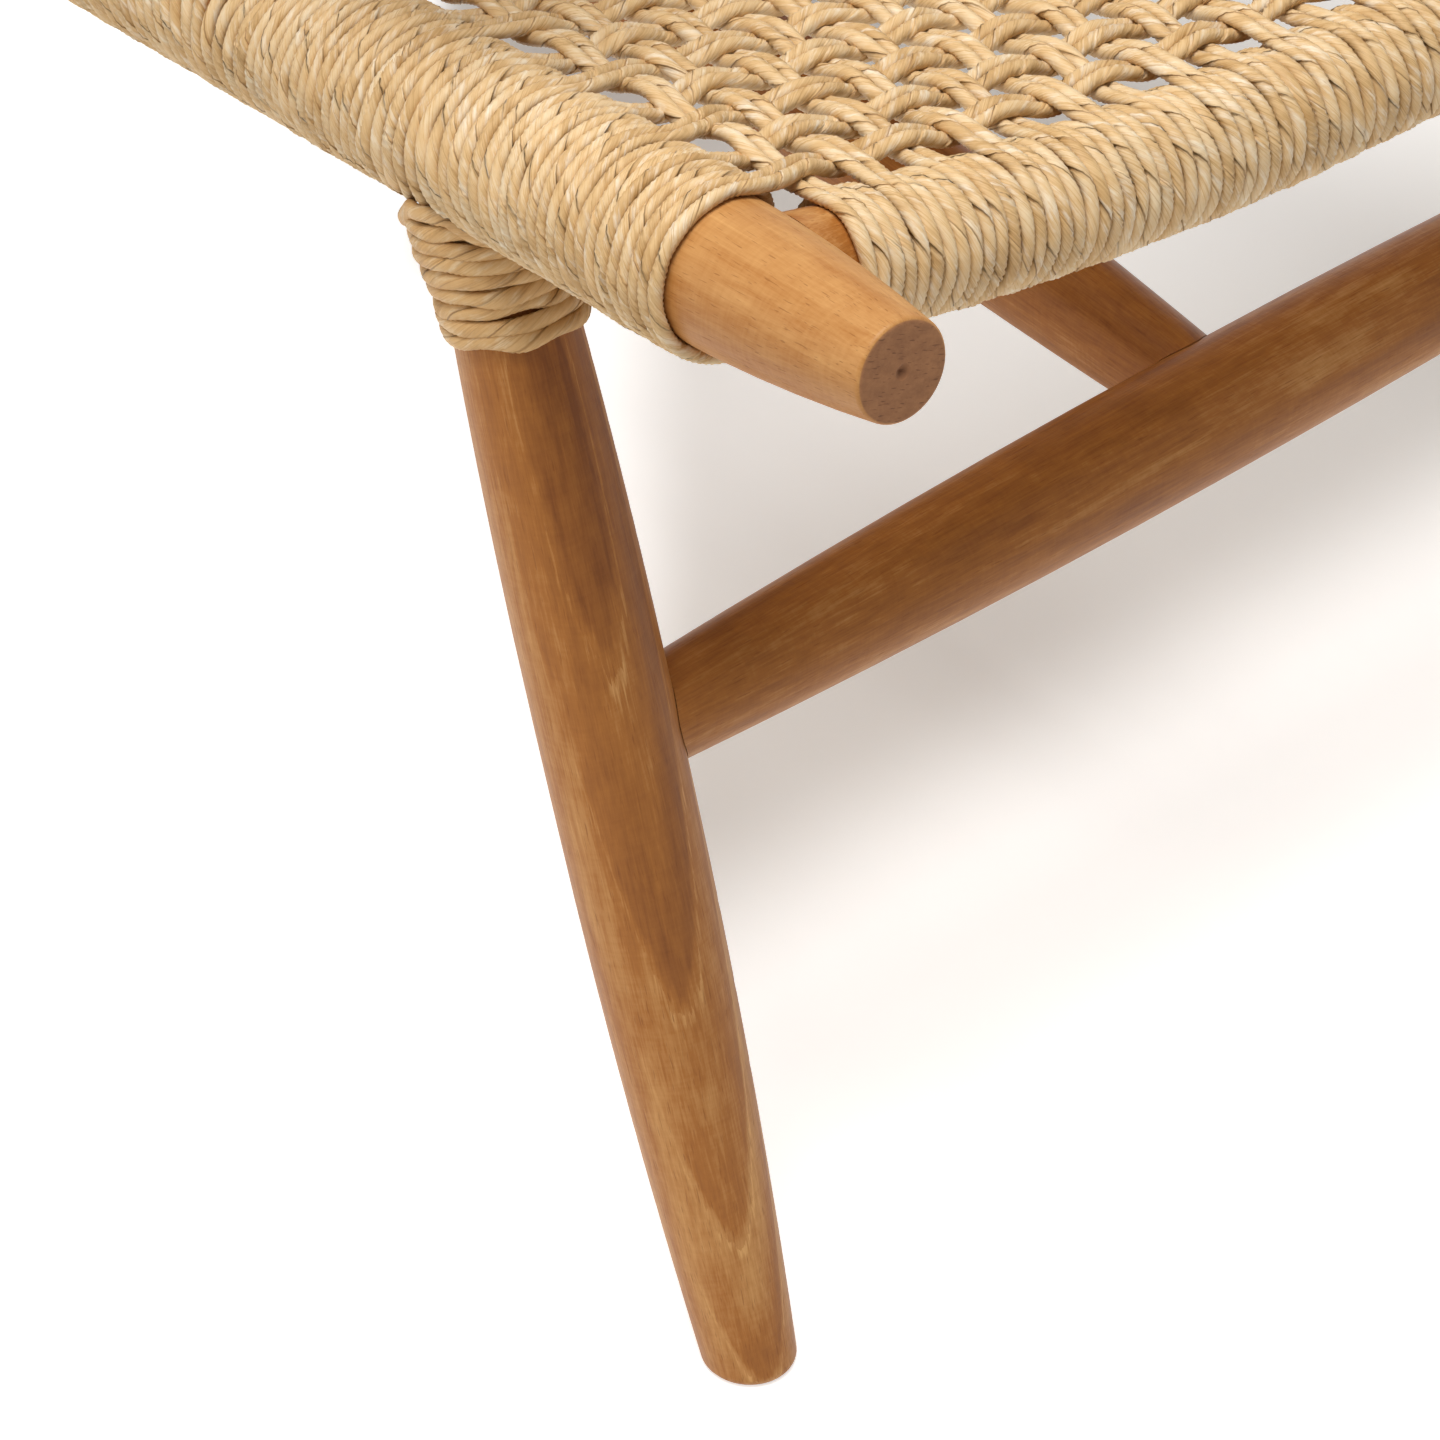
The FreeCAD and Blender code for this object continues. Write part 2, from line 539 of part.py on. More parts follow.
# Cord wrapped round the side rails, open where the legs, the posts and the cross rails pass
wrap_length = put("side_wrap_length", size("rail_length") - 2 * size("rail_wrap_start"), "wrapped stretch")
wrap_outside = "sizes.rail_diameter / 2 + sizes.wrap_clearance + sizes.cord_thickness"
wrap_inside = "sizes.rail_diameter / 2 + sizes.wrap_clearance"
wrap_start = on_rail(size("rail_wrap_start"))
wrap_blank = cylinder("side_wrap_blank", wrap_start, rail_direction, wrap_outside, f"sizes.{wrap_length}")
wrap_bore = cylinder("side_wrap_bore", wrap_start, rail_direction, wrap_inside, f"sizes.{wrap_length}")
passages = [wrap_bore]
for name, base, direction, turning in (
    ("front_leg", front_leg_top, front_leg_direction, leg_turning),
    ("rear_leg", rear_leg_top, rear_leg_direction, leg_turning),
    ("arm_post", arm_post_base, down * -1, arm_post_turning),
    ("back_post", rear_leg_top, post_direction, back_post_turning),
):
    widest = turned_radius(*turning, size("rail_diameter"))
    passage_radius = put(name + "_passage_radius", widest, "passage in the wrapping")
    passages.append(cylinder(name + "_passage", base, direction,
                             f"sizes.{passage_radius} + sizes.wrap_clearance", "sizes.rail_diameter"))
for name, end, dip in cross_rails:
    passages.append(cylinder(name + "_passage", end, end_direction(-end.x, dip, down) * -1,
                             "sizes.cross_rail_diameter / 2 + sizes.wrap_clearance", "sizes.rail_diameter"))
pair("side_rail_wrap", cut("side_rail_wrap", wrap_blank, passages))

# Cord wrapped round the cross rails and the back rails
cross_outside = "sizes.cross_rail_diameter / 2 + sizes.wrap_clearance + sizes.cord_thickness"
cross_inside = "sizes.cross_rail_diameter / 2 + sizes.wrap_clearance"
closing = cross_wrap_radius * rail_direction.x / rail_direction.y


# How far short of its neighbour's axis a wrapping ends: as if that piece were wrapped too
def wrap_trim(neighbour, allowance=0.0):
    wrapped = size(neighbour) / 2 + size("wrap_clearance") + size("cord_thickness")
    return wrapped + size("wrap_shoulder") + allowance


rail_trim = wrap_trim("rail_diameter", closing)
post_trim = wrap_trim("back_post_belly_diameter")
bent_wraps = [(name, end, dip, down, rail_trim) for name, end, dip in cross_rails]
bent_wraps += [(name, end, size("back_bow"), back_normal, post_trim) for name, end in back_rails]
wrap_envelopes = {}
for name, end, depth, bow, trim in bent_wraps:
    middle = Vector(0, end.y, end.z)
    outer = bent_rail(name + "_wrap_outer", middle, -end.x, depth, bow, cross_outside, trim)
    inner = bent_rail(name + "_wrap_inner", middle, -end.x, depth, bow, cross_inside)
    node(name + "_wrap", cut(name + "_wrap", outer, [inner]))
    wrap_envelopes[name] = bent_rail(name + "_wrap_envelope", middle, -end.x, depth, bow,
                                     cross_outside + " + sizes.weave_clearance")


# A woven field is a shallow trough whose top is level with the wrapped rails it hangs between
def trough(name, start, end, bend, half_angle, bow, tools):
    direction = (end - start).normalize()
    length = put(name + "_length", (end - start).Length, "length of the " + name)
    top = put(name + "_top_radius", bend - cross_wrap_radius, "bend of the upper face of the " + name)
    angle = put(name + "_angle", 2 * half_angle, "angle of the " + name)
    across = direction.cross(bow)
    centre = start - bow * bend
    shell = []
    for side, radius in (("under", f"sizes.{top} + sizes.weave_thickness"), ("upper", f"sizes.{top}")):
        drum = cylinder(f"{name}_{side}", centre, direction, radius, f"sizes.{length}")
        bind(drum, Angle=f"sizes.{angle}")
        facing = Rotation(bow, across * -1, direction, "ZXY")
        drum.Placement = Placement(centre, facing.multiply(Rotation(Vector(0, 0, 1), -half_angle)))
        shell.append(drum)
    field = cut(name + "_field", shell[0], [shell[1]])
    node(name, cut(name + "_fitted", field, tools))


front_middle = Vector(0, front_rail_end.y, front_rail_end.z - size("seat_dip"))
rear_middle = Vector(0, rear_rail_end.y, rear_rail_end.z - rear_dip)
seat_direction = (rear_middle - front_middle).normalize()
seat_bow = Vector(0, seat_direction.z, -seat_direction.y)
rail_envelopes = []
for side, start, heading, outward in (
    ("left", rail_tip, rail_direction, Vector(-1, 0, 0)),
    ("right", mirrored(rail_tip), mirrored(rail_direction), Vector(1, 0, 0)),
):
    radius = wrap_outside + " + sizes.weave_clearance"
    rail_envelopes.append(cylinder(f"rail_envelope_{side}", start, heading, radius, "sizes.rail_length"))
    beyond = doc.addObject("Part::Box", f"beyond_rail_{side}")
    bind(beyond, Length="sizes.rail_length", Width="sizes.rail_length", Height="sizes.rail_length")
    facing = Rotation(outward, heading.cross(outward), heading, "ZXY")
    level = heading.cross(outward) * (-size("rail_length") / 2)
    beyond.Placement = Placement(start + level, facing)
    rail_envelopes.append(beyond)
seat_tools = rail_envelopes + [wrap_envelopes["front_rail"], wrap_envelopes["rear_rail"]]
seat_half_angle = degrees(asin(-front_rail_end.x / seat_bend))
trough("seat_weave", front_middle, rear_middle, seat_bend, seat_half_angle, seat_bow, seat_tools)

back_bend = arc_radius(back_half_chord, size("back_bow"))
lower_middle = on_post(size("back_lower_rail_rise")) + back_normal * size("back_bow")
upper_middle = on_post(size("back_top_rail_rise")) + back_normal * size("back_bow")
lower_middle.x = 0
upper_middle.x = 0
back_half_angle = degrees(asin((back_half_chord - post_trim) / back_bend))
back_tools = [wrap_envelopes["back_lower_rail"], wrap_envelopes["back_top_rail"]]
trough("back_weave", lower_middle, upper_middle, back_bend, back_half_angle, back_normal, back_tools)


# Leg bindings: a cord wound down each leg's top, one unbroken tube of biarcs, half a turn each
def biarc(start, start_tangent, end, end_tangent):
    chord = end - start
    both = start_tangent + end_tangent
    spread = 2 * (1 - start_tangent.dot(end_tangent))
    reach = (-chord.dot(both) + sqrt(chord.dot(both) ** 2 + spread * chord.dot(chord))) / spread
    first_corner = start + start_tangent * reach
    second_corner = end - end_tangent * reach
    meeting = (first_corner + second_corner) * 0.5
    arcs = []
    for near, corner, far in ((start, first_corner, meeting), (meeting, second_corner, end)):
        weight = (far - near).normalize().dot((corner - near).normalize())
        halfway = (near + corner * (2 * weight) + far) * (1 / (2 + 2 * weight))
        arcs.append(Part.Arc(near, halfway, far).toShape())
    return arcs


def binding(top, direction):
    turns = int(size("binding_turns"))
    start_distance = binding_start(direction)
    frame = along(top, direction)

    def place(turn):
        distance = start_distance + binding_pitch * turn
        radius = turned_radius(*leg_turning, distance) + binding_off_wood
        angle = 2 * pi * turn
        return frame.multVec(Vector(radius * cos(angle), radius * sin(angle), distance))

    def heading(turn):
        small = 0.001
        return (place(turn + small) - place(turn - small)).normalize()

    halves = [step / 2 for step in range(2 * turns + 1)]
    edges = []
    for here, following in zip(halves, halves[1:]):
        edges += biarc(place(here), heading(here), place(following), heading(following))
    lead = place(0) - heading(0) * size("cord_width")
    tail = place(turns) + heading(turns) * size("cord_width")
    path = [Part.makeLine(lead, place(0))] + edges + [Part.makeLine(place(turns), tail)]
    outward = (place(0) - frame.multVec(Vector(0, 0, start_distance))).normalize()
    sideways = outward.cross(heading(0)).normalize()
    section_corners = 5
    corners = []
    for step in range(section_corners):
        angle = 2 * pi * step / section_corners
        corner = lead + sideways * (cos(angle) * size("cord_width") / 2)
        corners.append(corner + outward * (sin(angle) * size("cord_thickness") / 2))
    section = Part.makePolygon(corners + corners[:1])
    tube = Part.Wire(path).makePipeShell([section], True, False)
    return tube, least_gap_between_turns(edges) - size("cord_width")


# Least distance between a point of the winding and the points of the turns after it
def least_gap_between_turns(edges):
    points_per_edge = 12
    edges_per_turn = 4
    points = []
    for edge in edges:
        points += edge.discretize(points_per_edge + 1)[:-1]
    nearly_a_turn = points_per_edge * (edges_per_turn - 1)
    over_a_turn = points_per_edge * (edges_per_turn + 1)
    return min((points[i] - later).Length for i in range(len(points))
               for later in points[i + nearly_a_turn:i + over_a_turn])


binding_tubes = []
for name, top, direction in (
    ("front_leg", front_leg_top, front_leg_direction),
    ("rear_leg", rear_leg_top, rear_leg_direction),
):
    tube, least_gap = binding(top, direction)
    print(f"{name} binding: least gap to itself {least_gap:.2f} mm")
    binding_tubes += [tube, tube.mirror(Vector(0, 0, 0), Vector(1, 0, 0))]
bindings = doc.addObject("Part::Feature", "leg_bindings")
bindings.Shape = Part.makeCompound(binding_tubes)
node("leg_bindings", bindings)

# Every piece is sound before anything is written
doc.recompute()
faults = [piece.Name for piece in doc.Objects if {"Invalid", "Error"} & set(piece.State)]
for label, piece in nodes.items():
    if piece.Shape.isNull() or not piece.Shape.isValid() or not piece.Shape.Solids:
        faults.append(label)
if faults:
    raise SystemExit("not sound: " + ", ".join(faults))

# The origin is on the floor under the middle of the chair's box
whole_box = FreeCAD.BoundBox()
for piece in nodes.values():
    whole_box.add(piece.Shape.BoundBox)
to_origin = Vector(0, -(whole_box.YMin + whole_box.YMax) / 2, 0)
os.makedirs("parts", exist_ok=True)
for label, piece in nodes.items():
    placed = piece.Shape.copy()
    placed.translate(to_origin)
    placed.exportStep(f"parts/{label}.step")
    print(f"{label}: {len(placed.Solids)} solids, {placed.Volume / 1000:.1f} cm3")
print(f"moved by {to_origin.y:.3f} along Y")
print(f"box {whole_box.XLength:.1f} x {whole_box.YLength:.1f} x {whole_box.ZMax:.1f}")
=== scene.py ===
# Garden armchair of round teak members, with a seat and back woven from twisted cord
from collections import namedtuple
from math import acos, atan2, cos, cosh, hypot, pi, radians, sin, sqrt
import bpy
import numpy as np
from mathutils import Matrix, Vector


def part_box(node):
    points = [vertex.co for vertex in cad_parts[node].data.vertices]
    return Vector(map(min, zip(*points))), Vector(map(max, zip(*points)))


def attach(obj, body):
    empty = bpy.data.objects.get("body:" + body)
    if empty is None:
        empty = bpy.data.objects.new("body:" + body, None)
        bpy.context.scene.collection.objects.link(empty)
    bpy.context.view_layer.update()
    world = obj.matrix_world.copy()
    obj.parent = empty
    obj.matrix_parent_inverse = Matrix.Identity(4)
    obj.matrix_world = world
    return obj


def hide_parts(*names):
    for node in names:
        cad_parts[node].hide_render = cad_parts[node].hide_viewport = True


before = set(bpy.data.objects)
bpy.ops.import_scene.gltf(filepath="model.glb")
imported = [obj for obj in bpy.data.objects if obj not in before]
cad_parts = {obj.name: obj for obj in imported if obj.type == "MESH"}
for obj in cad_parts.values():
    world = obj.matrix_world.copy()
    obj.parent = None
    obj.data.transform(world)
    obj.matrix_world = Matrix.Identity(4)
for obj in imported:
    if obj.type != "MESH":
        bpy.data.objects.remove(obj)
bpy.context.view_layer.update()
print("frame loaded:", len(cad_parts), "nodes")

# sizes of the frame, metres
chair = {
    "tipHalfWidth": 0.282, "tipHeight": 0.430, "tilt": radians(5.8), "splay": radians(3.8),
    "railLength": 0.690, "wrapStart": 0.074, "crossSetback": 0.0685, "dip": 0.037,
    "sideCord": 0.0248, "crossCord": 0.0195,          # cord centres from the rail axes
    "frontLeg": 0.197, "frontRake": 0.123, "rearLeg": 0.115, "rearRake": 0.150,
    "armPost": 0.300, "armHeight": 0.200, "armWay": (0.0538, 0.9962, -0.0687),
    "middleBarWay": (0.0, 0.9925, 0.122),
    "recline": radians(17), "backLower": 0.110, "backTop": 0.418, "backBow": 0.025,
}


def vec(*numbers):
    return np.array(numbers, float)


def unit(v):
    return v / np.linalg.norm(v, axis=-1, keepdims=True)


def railDirection(side):                              # the left rail is side -1
    flat = cos(chair["tilt"])
    return vec(-side * sin(chair["splay"]) * flat, cos(chair["splay"]) * flat, -sin(chair["tilt"]))


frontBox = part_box("front_rail")
frontMiddle = (frontBox[0].y + frontBox[1].y) / 2
tipY = frontMiddle - chair["crossSetback"] * railDirection(-1)[1]


def railAt(side, distance):
    return vec(side * chair["tipHalfWidth"], tipY, chair["tipHeight"]) + distance * railDirection(side)


def legWay(top, rake):                                # down a leg, from the rail's axis to its foot
    return unit(vec(0, rake, -top[2]))


# a rail bent to an arc: its ends, how far it bows, and which ways are along the field and out of its face
def bentRail(end, bow, bowWay, along):
    half = abs(end[0])
    return {
        "end": end, "half": half, "bow": bow, "bend": (half ** 2 + bow ** 2) / (2 * bow),
        "bowWay": bowWay, "along": along,
    }


def bentPoint(rail, x):
    root = sqrt(rail["bend"] ** 2 - x ** 2)
    depth = rail["bow"] - (rail["bend"] - root)
    return vec(0, rail["end"][1], rail["end"][2]) + vec(x, 0, 0) + depth * rail["bowWay"]


def bentNormal(rail, x):                              # out of the woven face, square to the rail
    slope = x / sqrt(rail["bend"] ** 2 - x ** 2)
    return unit(-rail["bowWay"] - slope * vec(1, 0, 0))


frontEnd = railAt(-1, chair["crossSetback"])
rearEnd = railAt(-1, chair["railLength"] - chair["crossSetback"])
down = vec(0, 0, -1)
frontRail = bentRail(frontEnd, chair["dip"], down, vec(0, 1, 0))
rearDip = frontRail["bend"] - sqrt(frontRail["bend"] ** 2 - rearEnd[0] ** 2)
rearRail = bentRail(rearEnd, rearDip, down, vec(0, -1, 0))

rearLegPlace = chair["railLength"] - chair["rearLeg"]
postFoot = railAt(-1, rearLegPlace)
postWay = vec(0, sin(chair["recline"]), cos(chair["recline"]))
backWay = vec(0, cos(chair["recline"]), -sin(chair["recline"]))
lowerRail = bentRail(postFoot + chair["backLower"] * postWay, chair["backBow"], backWay, postWay)
topRail = bentRail(postFoot + chair["backTop"] * postWay, chair["backBow"], backWay, -postWay)


# cord: twisted from a flat strip, so a seam winds round it
cord = {
    "width": 0.0050, "height": 0.0046, "step": 0.0021, "corners": 12,
    "lay": 0.019, "layChange": 0.14,                  # one turn of the seam, and how much it changes
    "lap": 0.060, "groove": 0.032,                    # seam step and groove, share of the radius
    "swell": 0.05, "swellWaves": (0.012, 0.06),       # uneven girth, with its shortest and longest wave
    "wander": 0.00022, "wanderWaves": (0.02, 0.09),
    "seamSway": 0.5, "seamWaves": (0.03, 0.08),
}
# how the cords are laid out flat for baking: girth of a row, share of it used, and where the lap's face goes
ribbonLayout = {"girth": 3.25, "edge": 0.02, "used": 0.90, "lap": (0.93, 0.93, 0.97, 0.97), "caps": 0.999}


# slow seeded waves along a cord
def waves(rng, at, shortest, longest, count=4):
    total = np.zeros(len(at))
    for k in range(count):
        length = shortest * (longest / shortest) ** rng.random()
        total += np.sin(2 * pi * (at / length + rng.random()))
    return total / sqrt(count / 2)


def evenly(points, others, step):
    gaps = np.linalg.norm(np.diff(points, axis=0), axis=1)
    keep = np.concatenate([[True], gaps > 1e-7])
    points = points[keep]
    others = [other[keep] for other in others]
    length = np.concatenate([[0], np.cumsum(np.linalg.norm(np.diff(points, axis=0), axis=1))])
    at = np.linspace(0, length[-1], max(6, int(round(length[-1] / step)) + 1))

    def pick(values):
        if values.ndim == 1:
            return np.interp(at, length, values)
        return np.stack([np.interp(at, length, column) for column in values.T], 1)

    return at, pick(points), [pick(other) for other in others]


# one cord: distances along it, and the corners of a ring at each, round from its seam
def cordRings(run, rng, settings, share):
    at, middle, (side, spread, rise) = evenly(run["points"], [run["side"], run["spread"], run["rise"]],
                                              settings["step"])
    swell, wander = settings["swell"], settings["wander"]
    wide = settings["width"] * spread * (1 + swell * waves(rng, at, *settings["swellWaves"]))
    tall = settings["height"] * rise * (1 + 0.6 * swell * waves(rng, at, *settings["swellWaves"]))
    tangent = unit(np.gradient(middle, axis=0))
    normal = unit(np.cross(side, tangent))
    side = np.cross(tangent, normal)
    middle = middle + side * (wander * waves(rng, at, *settings["wanderWaves"]))[:, None]
    middle = middle + normal * (0.5 * wander * waves(rng, at, *settings["wanderWaves"]))[:, None]
    lay = settings["lay"] * (1 + settings["layChange"] * (rng.random() - 0.5) * 2)
    seam = 2 * pi * (rng.random() + at / lay) + settings["seamSway"] * waves(rng, at, *settings["seamWaves"])
    profile = 1 + settings["lap"] * (share - 0.5)
    profile[0] -= settings["groove"]
    profile[1] -= settings["groove"] * 0.25
    angle = seam[:, None] + 2 * pi * share[None, :]
    across = (wide[:, None] / 2) * np.cos(angle) * profile
    upward = (tall[:, None] / 2) * np.sin(angle) * profile
    return at, middle[:, None] + across[..., None] * side[:, None] + upward[..., None] * normal[:, None]


# two maps: metres along and turns round for the shader, and one without overlaps, a long ribbon cut into rows
def mapCords(mesh, alongMap, turnMap, ribbon, laid, capCount, settings):
    corners = settings["corners"]
    share = np.arange(corners + 1) / corners
    capMap = np.tile(np.stack([0 * share, share], -1), (capCount, 1))
    runMap = np.concatenate([np.stack([alongMap.ravel(), turnMap.ravel()], -1), capMap])
    mesh.uv_layers.new(name="cordRun").uv.foreach_set("vector", runMap.ravel())
    girth = ribbonLayout["girth"] * (settings["width"] + settings["height"]) / 2
    rows = max(1, int(round(sqrt(laid / girth))))
    cut = laid / rows
    rowLength = cut + 2 * settings["step"]
    row = np.floor(ribbon[:, :1] / (cut + 1e-9))
    isLap = np.tile(np.arange(corners + 1) == corners, len(turnMap) // (corners + 1))[:, None]
    aroundIt = ribbonLayout["edge"] + ribbonLayout["used"] * turnMap
    lapTurn = np.where(isLap, np.array([ribbonLayout["lap"]]), aroundIt)
    flat = np.stack([(ribbon - row * cut) / rowLength, (row + lapTurn) / rows], -1).reshape(-1, 2)
    capFlat = np.stack([ribbonLayout["caps"] + 0 * share, share * (1 - ribbonLayout["caps"])], -1)
    flat = np.concatenate([flat, np.tile(capFlat, (capCount, 1))])
    mesh.uv_layers.new(name="OFBake").uv.foreach_set("vector", flat.ravel())


# one mesh of many cords; each run has points, sideways vectors, and shares of the width and height
def sweepCords(name, runs, seed, replaced, finish, settings=cord):
    rng = np.random.default_rng(seed)
    corners = settings["corners"]
    ringIndex = np.arange(corners + 1)
    share = ringIndex / corners
    places, quads, caps, alongMap, turnMap, ribbon, tones = [], [], [], [], [], [], []
    firstVertex, laid = 0, 0.0
    for run in runs:
        at, ring = cordRings(run, rng, settings, share)
        count = len(at)
        places.append(ring.reshape(-1, 3))
        i, k = np.meshgrid(np.arange(count - 1), ringIndex, indexing="ij")
        after = (k + 1) % (corners + 1)
        here = firstVertex + i * (corners + 1)
        there = here + corners + 1
        quads.append(np.stack([here + k, there + k, there + after, here + after], -1).reshape(-1, 4))
        near, far = at[:-1][:, None] + 0 * share, at[1:][:, None] + 0 * share
        along = np.stack([near, far, far, near], -1).reshape(-1, 4)
        alongMap.append(along + rng.random() * 7)     # so that no two cords show the same stretch
        ribbon.append(along + laid)
        low = np.broadcast_to(share, i.shape)
        high = np.broadcast_to(np.minimum(share + 1 / corners, 1.0), i.shape)
        turnMap.append(np.stack([low, low, high, high], -1).reshape(-1, 4))
        caps.append(firstVertex + ringIndex)
        caps.append(firstVertex + (count - 1) * (corners + 1) + ringIndex[::-1])
        tones.append(np.full(count * (corners + 1), rng.random()))
        firstVertex += count * (corners + 1)
        laid += at[-1] + 0.002
    places, quads, alongMap, turnMap, ribbon = map(np.concatenate, (places, quads, alongMap, turnMap, ribbon))
    mesh = bpy.data.meshes.new(name)
    mesh.vertices.add(len(places))
    mesh.vertices.foreach_set("co", places.ravel())
    loops = np.concatenate([quads.ravel(), *caps])
    mesh.loops.add(len(loops))
    mesh.loops.foreach_set("vertex_index", loops)
    starts = np.concatenate([np.arange(len(quads)) * 4, quads.size + np.arange(len(caps)) * (corners + 1)])
    mesh.polygons.add(len(starts))
    mesh.polygons.foreach_set("loop_start", starts)
    mesh.update(calc_edges=True)
    mapCords(mesh, alongMap, turnMap, ribbon, laid, len(caps), settings)
    tone = mesh.attributes.new("cordTone", "FLOAT", "POINT")
    tone.data.foreach_set("value", np.concatenate(tones).astype(np.float32))
    mesh.polygons.foreach_set("use_smooth", np.ones(len(starts), bool))
    mesh.uv_layers.active_index = 0
    mesh.uv_layers[0].active_render = True
    piece = bpy.data.objects.new(name, mesh)
    bpy.context.scene.collection.objects.link(piece)
    mesh.materials.append(finish)
    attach(piece, "root")
    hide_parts(*replaced)
    print(name, len(runs), "cords", len(quads) * 2, "triangles")


# part of a turn round a rail; angle 0 is towards the field and a quarter turn is out of its face
def arcRun(centre, inward, outward, radius, start, stop, step=0.001):
    angle = np.linspace(start, stop, max(3, int(abs(stop - start) * radius / step)))
    points = centre + radius * (np.cos(angle)[:, None] * inward + np.sin(angle)[:, None] * outward)
    return angle, points


# where a taut cord to a point that lies (ahead, above) the rail's axis leaves the rail
def leaveAngle(ahead, above, radius):
    return atan2(above, ahead) + acos(min(1, radius / hypot(ahead, above)))


def smoothThrough(knots, heights, slopes, at):
    knots, heights, slopes = np.array(knots), np.array(heights), np.array(slopes)
    i = np.clip(np.searchsorted(knots, at) - 1, 0, len(knots) - 2)
    gap = knots[i + 1] - knots[i]
    t = (at - knots[i]) / gap
    a, b = heights[i], heights[i + 1]
    m, n = slopes[i] * gap, slopes[i + 1] * gap
    return (a * (1 + 2 * t) + m * t) * (1 - t) ** 2 + (b * (3 - 2 * t) - n * (1 - t)) * t ** 2


# members that stand in the side rails: place along the rail, how far their lean shifts it among the cords,
# the side they come from, and their reach
postsInRail = (
    {"at": chair["frontLeg"], "shift": -0.005, "angle": 1.5 * pi, "reach": 0.0180},
    {"at": chair["armPost"], "shift": 0.0, "angle": 0.5 * pi, "reach": 0.0172},
    {"at": rearLegPlace, "shift": 0.013, "angle": 1.5 * pi, "reach": 0.0200},
    {"at": rearLegPlace, "shift": 0.005, "angle": 0.5 * pi, "reach": 0.0180},
)
crossEnds = {"places": (chair["crossSetback"], chair["railLength"] - chair["crossSetback"]), "reach": 0.0194}
parting = {"farthest": 5.0, "tries": 20, "tightest": 0.55, "loosest": 1.1}


# cords part round a member as water does round a pile; gives the new places and how they crowd
def partRound(distance, angle, radius):
    moved = np.full(len(angle), float(distance))
    crowd = np.ones(len(angle))
    for post in postsInRail:
        gap = distance - (post["at"] + post["shift"])
        area = post["reach"] ** 2
        if abs(gap) > parting["farthest"] * post["reach"]:
            continue
        away = radius * ((angle - post["angle"] + pi) % (2 * pi) - pi)
        y = np.full(len(angle), abs(gap) / 2 + sqrt(gap * gap / 4 + area))
        for turn in range(parting["tries"]):          # the streamline's distance, by Newton's rule
            square = away ** 2 + y ** 2
            miss = y - area * y / square - abs(gap)
            rise = 1 - area * (away ** 2 - y ** 2) / square ** 2
            y = np.maximum(y - miss / np.maximum(rise, 0.4), 1e-6)
        rise = 1 - area * (away ** 2 - y ** 2) / (away ** 2 + y ** 2) ** 2
        moved += (y if gap >= 0 else -y) - gap
        crowd *= np.clip(1 / np.maximum(rise, 0.6), parting["tightest"], parting["loosest"])
    for place in crossEnds["places"]:                 # just behind a cross rail's end, on the inner side
        gap = distance - place
        away = radius * ((angle + pi) % (2 * pi) - pi)
        edge = np.sqrt(np.maximum(crossEnds["reach"] ** 2 - away ** 2, 0))
        y = (gap ** 4 + edge ** 4) ** 0.25
        moved += (y if gap > 0 else -y) - gap
        crowd *= np.clip((abs(gap) / y) ** 3, 0.6, 1)
    return moved, crowd


# where the wraps lie: a pair of weaving cords, then plain turns, as many as the pattern says
WrapPlace = namedtuple("WrapPlace", "kind pair which at pitch")


def wrapPlan(start, stop, pairs, plainTurns):
    kinds = []
    for pair in range(pairs):
        kinds += [("weave", pair, -0.5), ("weave", pair, 0.5)]
        if pair < pairs - 1:
            kinds += [("plain", pair, k) for k in range(plainTurns[pair % len(plainTurns)])]
    edges = np.linspace(start, stop, len(kinds) + 1)
    return [WrapPlace(*kind, (edges[n] + edges[n + 1]) / 2, edges[n + 1] - edges[n])
            for n, kind in enumerate(kinds)]


def weaveWrap(plan, pair, which):
    return next(wrap for wrap in plan if wrap[:3] == ("weave", pair, which))


def pairMiddle(plan, pair):
    return np.mean([weaveWrap(plan, pair, which).at for which in (-0.5, 0.5)])


seat = {
    "rows": 26, "columns": 24,
    "frontStart": 0.026, "rearStart": 0.026,          # first wrap's edge from the side rail's axis
    "midRise": 0.0190, "wave": 0.00230,               # field's middle above the rails' axes, and its weave
    "edgeRise": 0.0070, "edgeReach": 0.040,           # how it climbs to the side rails
    "firstRow": 0.0935, "fan": 0.050,                 # first row from the tip, and how soon a row gets there
    "pairGap": 0.0053, "fieldWide": 1.07, "fieldTall": 1.08,
    "flatten": 2.2,                                   # how fast the dip fades behind a rail, per metre
    "innerEnd": radians(345),                         # where a turn starts and ends, under the field
    "sideTurns": (3, 2, 3, 2, 3), "rearTurns": (2, 1, 2, 2),
    "frontTurns": (2, 3, 2, 2, 2, 2, 2, 2, 2, 2),
    "rowSteps": 520, "columnSteps": 560, "easeSteps": 30, "nudge": 0.001,
}

halfFront = frontRail["half"] - seat["frontStart"]
halfRear = rearRail["half"] - seat["rearStart"]
railPlan = wrapPlan(chair["wrapStart"], chair["railLength"] - chair["wrapStart"], seat["rows"],
                    seat["sideTurns"])
frontPlan = wrapPlan(-halfFront, halfFront, seat["columns"], seat["frontTurns"])
rearPlan = wrapPlan(-halfRear, halfRear, seat["columns"], seat["rearTurns"])

frontY, rearY = frontEnd[1], rearEnd[1]
railFall = railDirection(-1)[2] / railDirection(-1)[1]


def backShare(y):                                     # 0 at the front rail, 1 at the rear one
    return (y - frontY) / (rearY - frontY)


